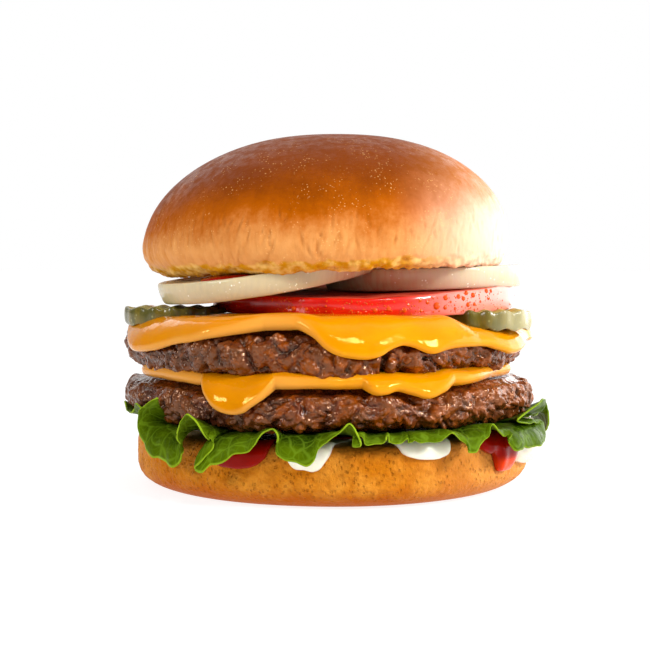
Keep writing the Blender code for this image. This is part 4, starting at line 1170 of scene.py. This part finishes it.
def make_leaf(name, stops, floor, seed, look):
    """A leaf that lies flat under the patty, and whose longer edge winds up and down outside it."""
    mesh_edit = bmesh.new()
    mesh_edit.loops.layers.uv.new("leaf")
    bmesh.ops.create_grid(mesh_edit, x_segments=LEAF_SEGMENTS, y_segments=LEAF_ROWS, size=1.0,
                          calc_uvs=True)
    piece = as_piece(name, mesh_edit, leaf_finish(look), "lettuce", name)
    grid = points_of(piece) * 0.5 + 0.5
    along, share = grid[:, 0], grid[:, 1]
    stops = np.array(stops, dtype=float)
    steps = np.hypot(np.radians(np.diff(stops[:, 0])) * 60.0, np.diff(stops[:, 2]))
    place = np.concatenate(([0.0], np.cumsum(np.hypot(steps, np.diff(stops[:, 1])))))
    length = place[-1] * MM
    stations = np.linspace(0.0, 1.0, LEAF_SEGMENTS + 1)
    edge = spline(np.column_stack((place, stops)), stations * place[-1])
    roots = blurred(edge[:, 0], round(13 * MM / length * LEAF_SEGMENTS))
    row = np.rint(along * LEAF_SEGMENTS).astype(int)
    azimuth, radius, height = np.radians(edge[row, 0]), edge[row, 1] * MM, edge[row, 2] * MM
    root_azimuth = np.radians(roots[row])
    line = np.column_stack((along * length, np.zeros_like(along), np.zeros_like(along)))
    tooth = 0.5 * MM * swell(line, 2.4 * MM, seed) + 0.6 * MM * swell(line, 5 * MM, seed + 1)
    height = height + 0.6 * tooth * np.sign(height - floor)
    radius = radius + 0.5 * tooth - 2.6 * MM * eased(0.82, 1.0, np.abs(np.sin(azimuth)))
    rest = 1.0 - share
    weights = (rest ** 3, 3.0 * rest ** 2 * share, 3.0 * rest * share ** 2, share ** 3)
    knee = floor + np.where(height < floor, 0.0, 0.3) * (height - floor) + 2.6 * MM
    middle = (0.0, 0.0)
    corners = (polar(middle, root_azimuth, LEAF_ROOT, floor),
               polar(middle, root_azimuth, LEAF_BEND, floor + 1.0 * MM),
               polar(middle, 0.35 * root_azimuth + 0.65 * azimuth, radius - 0.2 * MM, knee),
               polar(middle, azimuth, radius, height))
    points = sum(weight[:, None] * corner for weight, corner in zip(weights, corners))
    set_points(piece, points)
    side = np.column_stack((along * length, share * 15 * MM, np.full_like(along, seed * MM)))
    near, _, _ = pebbles(side, 4.6 * MM, seed + 2)
    heights = 0.4 * MM * (0.5 - near) + 0.6 * MM * rough(side, 8 * MM, seed + 7, 2)
    raised(piece, heights * eased(0.1, 0.5, share) * (1.0 - 0.4 * eased(0.85, 1.0, share)))
    marked(piece, "edge", share)
    map_of = piece.data.uv_layers["leaf"].data
    corners = np.empty(len(map_of) * 2)
    map_of.foreach_get("uv", corners)
    map_of.foreach_set("uv", (corners.reshape(-1, 2) * (length, 20 * MM)).ravel())
    wall = piece.modifiers.new("wall", "SOLIDIFY")
    wall.thickness = look.thickness
    wall.offset = 0.0
    return piece


class BURGER_OT_lettuce(bpy.types.Operator):
    """Make the two frilly lettuce leaves"""

    bl_idname = "burger.lettuce"
    bl_label = "Lettuce"

    def execute(self, context):
        look = context.scene.burger_lettuce
        floor = HEEL_TOP + 1.9 * MM
        make_leaf("lettuce_front", FRONT_EDGE, floor, seed=40, look=look)
        make_leaf("lettuce_back", BACK_EDGE, floor + 0.8 * MM, seed=60, look=look)
        return {"FINISHED"}


# ---------------------------------------------------------------- slices


class SliceSettings(bpy.types.PropertyGroup):
    tomato: colour("Tomato", "Skin and flesh of the tomato", (216, 26, 4))
    onion: colour("Onion", "Raw onion", (196, 180, 146))
    pickle_skin: colour("Pickle skin", "Olive skin of the pickle slices", (114, 98, 24))
    pickle_face: colour("Pickle face", "Cut face of the pickle slices", (176, 152, 50))
    bead_count: IntProperty(name="Beads", description="Small drops on the tomato", default=420,
                            min=0, max=600)


TOMATO_WALL = linear(210, 70, 40)
TOMATO_FLESH = linear(176, 26, 10)
TOMATO_DEEP = linear(190, 14, 4)
# Painted sheen: pink-white on the skin towards the right.
TOMATO_PALE = linear(248, 178, 160)
# Painted light: the red skin seen through a drop, as an orange colour.
JUICE = linear(255, 104, 26)
# Painted light: a rosy glow of light shining through shaded flesh, from the middle rightwards.
ONION_ROSY = linear(206, 140, 104)
# Painted light on the onion towards the right.
ONION_PALE = linear(212, 194, 170)
ONION_FIBRE = linear(214, 196, 150)
ONION_CLOUD = linear(212, 194, 156)
# Painted glints on the wet onion.
SPARKLE = linear(255, 250, 236)
ONION_RING = linear(150, 136, 92)
PICKLE_DARK = linear(84, 80, 28)
PICKLE_WART = linear(160, 160, 100)
PICKLE_FLESH = linear(142, 138, 52)
# Painted light on the right pickle's skin.
PICKLE_PALE = linear(206, 196, 152)

TOMATO_CENTRE = (7.2 * MM, -1.0 * MM)
TOMATO_RADIUS = 42.2 * MM
TOMATO_THICKNESS = 5.0 * MM
TOMATO_TILT = Euler((math.radians(2.2), math.radians(-1.4), 0.0))
TOMATO_LUMPS = ((5, 0.3 * MM), (3, 0.35 * MM))
TOMATO_LUMPS_START = 0.7
TOMATO_TAPER = 0.2 * MM
SLICE_SEGMENTS = 420
SLICE_ROUNDNESS = 0.2
ONION_LUMPS = ((2, 0.3 * MM), (3, 0.25 * MM))
ONION_TAPER = 1.0 * MM
ONION_RING_PITCH = 4.3 * MM
PICKLE_LUMPS = ((2, 0.28 * MM), (11, 0.16 * MM))
PICKLE_ROUNDNESS = 0.16
PICKLE_WAVE_PITCH = 4.6 * MM


def make_slice(name, radius, thickness, lumps, start, taper, bend, roundness, material, slot):
    """A round slice lying on the origin: its faces are flat and its side is rounded."""
    face_rows, side_rows = 22, 20
    rows = 2 * face_rows + side_rows
    piece, azimuth, row = spun(name, rows, SLICE_SEGMENTS, material, slot)
    turned = np.clip((row - face_rows + 1.0) / (side_rows + 1.0), 0.0, 1.0) * math.pi
    share = np.where(row < face_rows, row / (face_rows - 1.0), (rows - 1.0 - row) / (face_rows - 1.0))
    reach = radius + ripple(azimuth, lumps, start)
    round_edge = roundness * thickness
    out = np.clip(share, 0.0, 1.0) * (reach - round_edge)
    out = out + round_edge * np.sin(turned) ** 0.6 * (share >= 1.0 - 1e-6)
    in_side = (row >= face_rows) & (row < face_rows + side_rows)
    out = np.where(in_side, reach - round_edge + round_edge * np.sin(turned) ** 0.6, out)
    up = thickness * (0.5 + 0.5 * np.cos(turned))
    out = out - taper * (1.0 - up / thickness) * (out / reach)
    points = polar((0.0, 0.0), azimuth, out, up)
    points[:, 2] += bend * (points[:, 0] / radius) ** 2
    return piece, points, in_side


def tomato_finish(look):
    """Wet red skin round the side, with a painted pink-white sheen towards the right, and flesh with paler
    walls on the faces.
    """
    finish = Finish("tomato_skin", Specular_IOR_Level=0.5, Subsurface_Weight=0.12,
                    Subsurface_Radius=(0.004, 0.0008, 0.0005), Subsurface_Scale=1.0)
    side = finish.stored("side")
    walls = finish.ranged(finish.grains(9 * MM, "DISTANCE_TO_EDGE"), 0.05, 0.3)
    flesh = finish.mixed(walls, TOMATO_WALL, TOMATO_FLESH)
    streaks = finish.noise(5 * MM, 4.0, finish.stretched(1.0, 0.3))
    skin = finish.mixed(finish.ranged(streaks, 0.35, 0.7), look.tomato, TOMATO_DEEP)
    rightwards = finish.rightwards()
    # Painted sheen: pink-white on the skin towards the right.
    skin = finish.tinted(skin, TOMATO_PALE, rightwards, 13 * MM, 38 * MM, 0.0, 0.65)
    finish.set("Base Color", finish.mixed(side, flesh, skin))
    finish.set("Roughness", finish.ranged(side, 0.0, 1.0, 0.6, 0.15))
    wet = finish.noise(2.2 * MM, 3.0)
    finish.set("Normal", finish.bumped(wet, 0.15 * MM, 0.4))
    return finish.material


def drop_finish():
    """A water drop, painted orange as the lit red skin seen through it."""
    return Finish("water_drop_painted_glow", Base_Color=JUICE, Roughness=0.03, IOR=1.33,
                  Transmission_Weight=0.45, Specular_IOR_Level=0.8).material


def onion_finish(look):
    """Translucent flesh with fine upright fibres, with painted rosy light in the shaded part, painted light
    towards the right and painted wet glints.
    """
    finish = Finish("onion_flesh", Roughness=0.22, Specular_IOR_Level=0.3, Subsurface_Weight=0.35,
                    Subsurface_Radius=(0.006, 0.004, 0.002), Subsurface_Scale=1.0)
    rings = finish.stored("ring")
    rightwards = finish.rightwards()
    fibre = finish.noise(0.9 * MM, 3.0, finish.stretched(1.0, 0.12))
    patches = finish.noise(8 * MM, 3.0)
    # Painted light: rosy where light shines through shaded flesh from the middle rightwards, then paler
    # towards the right.
    base = finish.mixed(finish.ranged(rightwards, -6 * MM, 6 * MM), look.onion, ONION_ROSY)
    base = finish.tinted(base, ONION_PALE, rightwards, 6 * MM, 40 * MM)
    base = finish.tinted(base, ONION_FIBRE, fibre, 0.3, 0.7, 0.0, 0.4)
    base = finish.tinted(base, ONION_CLOUD, patches, 0.35, 0.7, 0.0, 0.4)
    # Painted glints: small bright spots in patches.
    sparkle = finish.ranged(finish.grains(1.3 * MM), 0.22, 0.1)
    sparkle = finish.times(sparkle, finish.ranged(finish.noise(5 * MM, 2.0), 0.5, 0.62))
    base = finish.mixed(sparkle, base, SPARKLE)
    base = finish.mixed(finish.times(rings, 0.55), base, ONION_RING)
    finish.set("Base Color", base)
    relief = finish.plus(finish.times(fibre, 0.5), finish.times(rings, -0.6))
    finish.set("Normal", finish.bumped(relief, 0.25 * MM, 0.6))
    return finish.material


def pickle_finish(look):
    """Olive skin with paler, yellower cut faces, and painted light on the skin towards the right."""
    finish = Finish("pickle_flesh", Specular_IOR_Level=0.4,
                    Subsurface_Weight=0.15, Subsurface_Radius=(0.002, 0.002, 0.0006), Subsurface_Scale=1.0)
    side = finish.stored("side")
    mottle = finish.noise(3 * MM, 4.0, finish.stretched(1.0, 0.35))
    skin = finish.mixed(finish.ranged(mottle, 0.35, 0.65), look.pickle_skin, PICKLE_DARK)
    skin = finish.tinted(skin, PICKLE_WART, finish.grains(1.8 * MM), 0.25, 0.1, 0.0, 0.5)
    face = finish.mixed(finish.ranged(mottle, 0.3, 0.7), look.pickle_face, PICKLE_FLESH)
    rightwards = finish.rightwards()
    # Painted light: the skin turns paler towards the right.
    skin = finish.tinted(skin, PICKLE_PALE, rightwards, 36 * MM, 50 * MM, 0.0, 0.6)
    finish.set("Base Color", finish.mixed(side, face, skin))
    finish.set("Roughness", finish.ranged(side, 0.0, 1.0, 0.65, 0.22))
    finish.set("Normal", finish.bumped(mottle, 0.4 * MM, 0.6))
    return finish.material


class BURGER_OT_pickles(bpy.types.Operator):
    """Make the two crinkle-cut pickle slices"""

    bl_idname = "burger.pickles"
    bl_label = "Pickles"

    def execute(self, context):
        look = context.scene.burger_slices
        for name, (centre, radius, floor, _), thickness, seed in (
                ("pickle_left", LEFT_PICKLE, 4.5 * MM, 5), ("pickle_right", RIGHT_PICKLE, 4.8 * MM, 9)):
            piece, points, in_side = make_slice(
                name, radius, thickness, PICKLE_LUMPS, start=0.0, taper=0.0, bend=0.0,
                roundness=PICKLE_ROUNDNESS, material=pickle_finish(look), slot="pickle")
            wave = np.cos(math.tau * points[:, 0] / PICKLE_WAVE_PITCH + 0.8 * swell(points, 9 * MM, seed))
            points[:, 2] += 0.32 * MM * wave + 0.12 * MM * rough(points, 3 * MM, seed)
            outwards = 1.0 + (0.22 * MM * wave + 0.15 * MM * swell(points, 4 * MM, seed)) / radius * in_side
            points[:, :2] *= outwards[:, None]
            set_points(piece, points + np.array((*centre, floor + 0.45 * MM)))
            marked(piece, "side", in_side.astype(float))
        return {"FINISHED"}


# Each large drop: its azimuth round the tomato, how far up the side it is, and its radius in mm
TOMATO_DROPS = (
    (-26, 0.42, 0.6), (-21, 0.42, 0.5), (2.7, 0.4, 0.65), (7.3, 0.45, 0.6), (12.7, 0.36, 0.7),
    (14.2, 0.6, 0.45), (18.6, 0.78, 0.5), (18.8, 0.3, 0.5), (21.3, 0.66, 0.55), (24.9, 0.48, 0.95),
    (28.8, 0.8, 0.7), (28.6, 0.38, 0.6), (34.7, 0.8, 0.65), (37, 0.7, 0.6), (38.8, 0.92, 0.6),
    (39.2, 0.42, 0.65), (42, 0.8, 0.7), (42.6, 0.42, 0.5), (50.1, 0.9, 0.65), (53, 0.88, 0.5),
    (51, 0.6, 0.5), (31, 0.6, 0.35), (33, 0.3, 0.4), (46, 0.5, 0.35), (-8, 0.5, 0.35), (-3, 0.3, 0.3),
    (-14, 0.6, 0.3),
)


def make_beads(name, middles, outwards, radii, material, slot):
    """Drops on a surface: balls flattened along the surface's normal, joined into one mesh."""
    ball_edit = bmesh.new()
    bmesh.ops.create_uvsphere(ball_edit, u_segments=12, v_segments=8, radius=1.0)
    ball = bpy.data.meshes.new(name + "_ball")
    ball_edit.to_mesh(ball)
    ball_edit.free()
    mesh_edit = bmesh.new()
    for _ in middles:
        mesh_edit.from_mesh(ball)
    piece = as_piece(name, mesh_edit, material, slot)
    balls = points_of(piece).reshape(len(middles), len(ball.vertices), 3)
    bpy.data.meshes.remove(ball)
    turns = np.array([Vector(outward).to_track_quat("Z", "Y").to_matrix() for outward in outwards])
    sizes = np.array(radii)[:, None] * (1.0, 1.0, 0.7)
    balls = np.einsum("bij,bvj->bvi", turns, balls * sizes[:, None, :]) + np.array(middles)[:, None, :]
    set_points(piece, balls.reshape(-1, 3))
    return piece


def wedged(points):
    """Points of the tomato slice, which grows thicker towards the right."""
    across = points[:, 0] / TOMATO_RADIUS
    points[:, 2] *= 0.96 + np.where(across > 0.0, 0.42, -0.15) * across
    points[:, 2] -= 0.6 * MM + 0.8 * MM * across
    return points


class BURGER_OT_tomato(bpy.types.Operator):
    """Make the tomato slice and the water drops on its side"""

    bl_idname = "burger.tomato"
    bl_label = "Tomato"

    def execute(self, context):
        look = context.scene.burger_slices
        piece, points, in_side = make_slice(
            "tomato_slice", TOMATO_RADIUS, TOMATO_THICKNESS, TOMATO_LUMPS, TOMATO_LUMPS_START,
            TOMATO_TAPER, bend=0.0, roundness=SLICE_ROUNDNESS, material=tomato_finish(look), slot="tomato")
        points += 0.12 * MM * rough(points, 7 * MM, 3, 2)[:, None] * (0.5, 0.5, 1.0)
        points = wedged(points)
        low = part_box("tomato_slice")[0].z
        rise = TOMATO_RADIUS * math.sin(math.hypot(TOMATO_TILT.x, TOMATO_TILT.y))
        place = (*TOMATO_CENTRE, low + rise)
        set_points(piece, turned_by(points, TOMATO_TILT, place))
        marked(piece, "side", in_side.astype(float))

        chance = np.random.default_rng(12)
        drops = [(math.radians(angle), up, radius * MM) for angle, up, radius in TOMATO_DROPS]
        for _ in range(look.bead_count):
            angle, up, size = chance.random(3)
            angle = math.radians(-34.0 + 96.0 * angle) if size < 0.55 else math.tau * angle
            drops.append((angle, 0.12 + 0.8 * up, (0.1 + 0.16 * chance.random() ** 2) * MM))
        middles, outwards, radii = [], [], []
        tilt = np.array(TOMATO_TILT.to_matrix())
        for angle, up, radius in drops:
            side = np.array((angle,))
            reach = TOMATO_RADIUS + ripple(side, TOMATO_LUMPS, TOMATO_LUMPS_START)
            away = abs(2.0 * up - 1.0)
            reach = reach - SLICE_ROUNDNESS * TOMATO_THICKNESS * (1.0 - (1.0 - away ** 2) ** 0.3)
            reach = reach - TOMATO_TAPER * (1.0 - up)
            spot = wedged(polar((0.0, 0.0), side, reach, up * TOMATO_THICKNESS))
            middles.append(turned_by(spot, TOMATO_TILT, place)[0])
            facing = polar((0.0, 0.0), side, 1.0, 0.9 * (up - 0.5) ** 3)
            outwards.append((facing @ tilt.T)[0])
            radii.append(radius)
        make_beads("tomato_drops", middles, outwards, radii, drop_finish(), "tomato")
        return {"FINISHED"}


# Each onion slice: its place, tilt, radius, thickness, bend of its ends and start of its lumps
ONION_SLICES = {
    "onion_right": ((24.6 * MM, -1.0 * MM, 53.7 * MM), (0.3, -1.6), 28.4 * MM, 5.8 * MM, 0.0, 0.4),
    "onion_left": ((-17.7 * MM, -15.0 * MM, 53.6 * MM), (2.4, -9.0), 30.0 * MM, 5.6 * MM, 0.9 * MM, 2.6),
}


class BURGER_OT_onions(bpy.types.Operator):
    """Make the two onion slices, the left one lying across the right one"""

    bl_idname = "burger.onions"
    bl_label = "Onions"

    def execute(self, context):
        look = context.scene.burger_slices
        material = onion_finish(look)
        for name, (place, tilt, radius, thickness, bend, start) in ONION_SLICES.items():
            piece, points, in_side = make_slice(
                name, radius, thickness, ONION_LUMPS, start, ONION_TAPER, bend,
                roundness=SLICE_ROUNDNESS, material=material, slot="onion")
            out = np.hypot(points[:, 0], points[:, 1])
            wobble = 0.6 * MM * swell(points, 14 * MM, 5)
            ring = ((out + wobble) / ONION_RING_PITCH + 0.35) % 1.0 - 0.5
            ring = np.exp(-ring ** 2 / 0.004) * ~in_side
            points[:, 2] -= 0.16 * MM * ring * np.where(points[:, 2] > 0.5 * thickness, 1.0, -1.0)
            points[:, 2] += 0.12 * MM * rough(points, 8 * MM, 15, 2)
            tilt = Euler((math.radians(tilt[0]), math.radians(tilt[1]), 0.0))
            set_points(piece, turned_by(points, tilt, place))
            marked(piece, "ring", ring)
        return {"FINISHED"}


# ---------------------------------------------------------------- stage


class StageSettings(bpy.types.PropertyGroup):
    floor: colour("Floor", "Plain pale floor", (255, 255, 255))
    key_power: FloatProperty(name="Key light", description="Power of the soft light at the front right",
                             default=2.4, min=0.0, unit="POWER")
    side_power: FloatProperty(name="Side light", description="Power of the wide light on the right",
                              default=0.9, min=0.0, unit="POWER")
    rim_power: FloatProperty(name="Rim light", description="Power of the large light at the back right",
                             default=1.2, min=0.0, unit="POWER")
    front: FloatProperty(name="Front", description="Brightness of the surroundings behind the camera",
                         default=0.15, min=0.0)
    back: FloatProperty(name="Back", description="Brightness of the surroundings behind the burger",
                        default=1.0, min=0.0)
    focal_length: FloatProperty(name="Lens", description="Focal length of the camera", default=72.58,
                                min=10.0, unit="CAMERA")


# Each light: its name, its place and its size. All face the same point.
LIGHTS = (
    ("key", (0.42, -0.34, 0.32), (0.1, 0.1)),
    ("top", (0.12, -0.36, 0.36), (0.07, 0.07)),
    ("side", (0.5, 0.04, 0.14), (0.45, 0.25)),
    ("rim", (0.35, 0.42, 0.2), (0.5, 0.4)),
    ("crest", (-0.25, 0.4, 0.4), (0.3, 0.3)),
    ("left", (-0.45, -0.3, 0.25), (0.12, 0.12)),
)
LIT_POINT = (0.0, 0.0, 0.05)
BRIGHTEST = (0.65, 0.55, 0.5)
CAMERA_PLACE = (-3.28 * MM, -370.0 * MM, 58.8 * MM)
CAMERA_DOWN = 2.405  # degrees below the level


def surroundings(look):
    """A white backdrop whose light comes mostly from above, from behind and from the right.

    BRIGHTEST points to its brightest part.
    """
    world = bpy.data.worlds.new("studio")
    world.use_nodes = True
    tree = world.node_tree
    background = tree.nodes["Background"]
    background.inputs["Color"].default_value = (1.0, 1.0, 1.0, 1.0)
    facing = tree.nodes.new("ShaderNodeVectorMath")
    facing.operation = "DOT_PRODUCT"
    tree.links.new(tree.nodes.new("ShaderNodeTexCoord").outputs["Generated"], facing.inputs[0])
    facing.inputs[1].default_value = Vector(BRIGHTEST).normalized()
    spread = tree.nodes.new("ShaderNodeMapRange")
    spread.interpolation_type = "SMOOTHSTEP"
    for socket, value in (("From Min", -0.6), ("From Max", 0.9), ("To Min", look.front),
                          ("To Max", look.back)):
        spread.inputs[socket].default_value = value
    tree.links.new(facing.outputs["Value"], spread.inputs["Value"])
    backdrop = tree.nodes.new("ShaderNodeMix")
    tree.links.new(tree.nodes.new("ShaderNodeLightPath").outputs["Is Camera Ray"], backdrop.inputs[0])
    tree.links.new(spread.outputs[0], backdrop.inputs[2])
    backdrop.inputs[3].default_value = 1.0
    tree.links.new(backdrop.outputs[0], background.inputs["Strength"])
    return world


def add_light(name, place, aim, size, power):
    """An oblong soft light that faces a point."""
    data = bpy.data.lights.new(name, "AREA")
    data.shape = "RECTANGLE"
    data.size, data.size_y = size
    data.energy = power
    light = bpy.data.objects.new(name, data)
    light.location = place
    light.rotation_euler = (Vector(aim) - Vector(place)).to_track_quat("-Z", "Y").to_euler()
    bpy.context.scene.collection.objects.link(light)


class BURGER_OT_stage(bpy.types.Operator):
    """Make the floor, the lights and the camera"""

    bl_idname = "burger.stage"
    bl_label = "Stage"

    def execute(self, context):
        look = context.scene.burger_stage
        scene = context.scene
        mesh_edit = bmesh.new()
        bmesh.ops.create_grid(mesh_edit, x_segments=1, y_segments=1, size=40.0)
        mesh = bpy.data.meshes.new("floor")
        mesh_edit.to_mesh(mesh)
        mesh_edit.free()
        finish = Finish("floor_paper", Roughness=1.0, Specular_IOR_Level=0.0)
        finish.set("Base Color", tuple(0.25 * value for value in look.floor))
        finish.set("Emission Color", tuple(look.floor))
        finish.set("Emission Strength", 0.85)
        mesh.materials.append(finish.material)
        floor = bpy.data.objects.new("floor", mesh)
        scene.collection.objects.link(floor)

        scene.world = surroundings(look)
        powers = (look.key_power, 0.5, look.side_power, look.rim_power, 0.35, 1.2)
        for (name, place, size), power in zip(LIGHTS, powers):
            add_light(name, place, LIT_POINT, size, power)

        data = bpy.data.cameras.new("camera")
        data.lens = look.focal_length
        data.sensor_width = 36.0
        data.clip_start = 0.01
        camera = bpy.data.objects.new("camera", data)
        camera.location = CAMERA_PLACE
        camera.rotation_euler = (math.radians(90.0 - CAMERA_DOWN), 0.0, 0.0)
        scene.collection.objects.link(camera)
        scene.camera = camera
        scene.view_settings.view_transform = "Standard"
        return {"FINISHED"}


# ---------------------------------------------------------------- panel and registration


class BURGER_PT_layers(bpy.types.Panel):
    """Lists the burger's pieces and their settings"""

    bl_idname = "BURGER_PT_layers"
    bl_label = "Burger"
    bl_space_type = "VIEW_3D"
    bl_region_type = "UI"
    bl_category = "Burger"

    def draw(self, context):
        for name, group, operators in PARTS:
            box = self.layout.box()
            box.label(text=name)
            settings = getattr(context.scene, group)
            for item in settings.bl_rna.properties:
                if item.identifier not in ("rna_type", "name"):
                    box.prop(settings, item.identifier)
            for operator in operators:
                box.operator(operator.bl_idname)


PARTS = (
    ("Bread", "burger_bread", (BURGER_OT_bottom_bun, BURGER_OT_top_bun)),
    ("Beef", "burger_beef", (BURGER_OT_patties,)),
    ("Cheese", "burger_cheese", (BURGER_OT_cheese,)),
    ("Sauces", "burger_sauce", (BURGER_OT_sauces,)),
    ("Lettuce", "burger_lettuce", (BURGER_OT_lettuce,)),
    ("Slices", "burger_slices", (BURGER_OT_pickles, BURGER_OT_tomato, BURGER_OT_onions)),
    ("Stage", "burger_stage", (BURGER_OT_stage,)),
)
SETTINGS = {
    "burger_bread": BreadSettings,
    "burger_beef": BeefSettings,
    "burger_cheese": CheeseSettings,
    "burger_sauce": SauceSettings,
    "burger_lettuce": LettuceSettings,
    "burger_slices": SliceSettings,
    "burger_stage": StageSettings,
}
CLASSES = (*SETTINGS.values(), *(operator for _, _, operators in PARTS for operator in operators),
           BURGER_PT_layers)


def register():
    for item in CLASSES:
        bpy.utils.register_class(item)
    for name, group in SETTINGS.items():
        setattr(bpy.types.Scene, name, PointerProperty(type=group))


def unregister():
    for name in SETTINGS:
        delattr(bpy.types.Scene, name)
    for item in reversed(CLASSES):
        bpy.utils.unregister_class(item)


def main():
    register()
    for _, _, operators in PARTS:
        for operator in operators:
            group, name = operator.bl_idname.split(".")
            getattr(getattr(bpy.ops, group), name)()


if __name__ == "__main__":
    main()
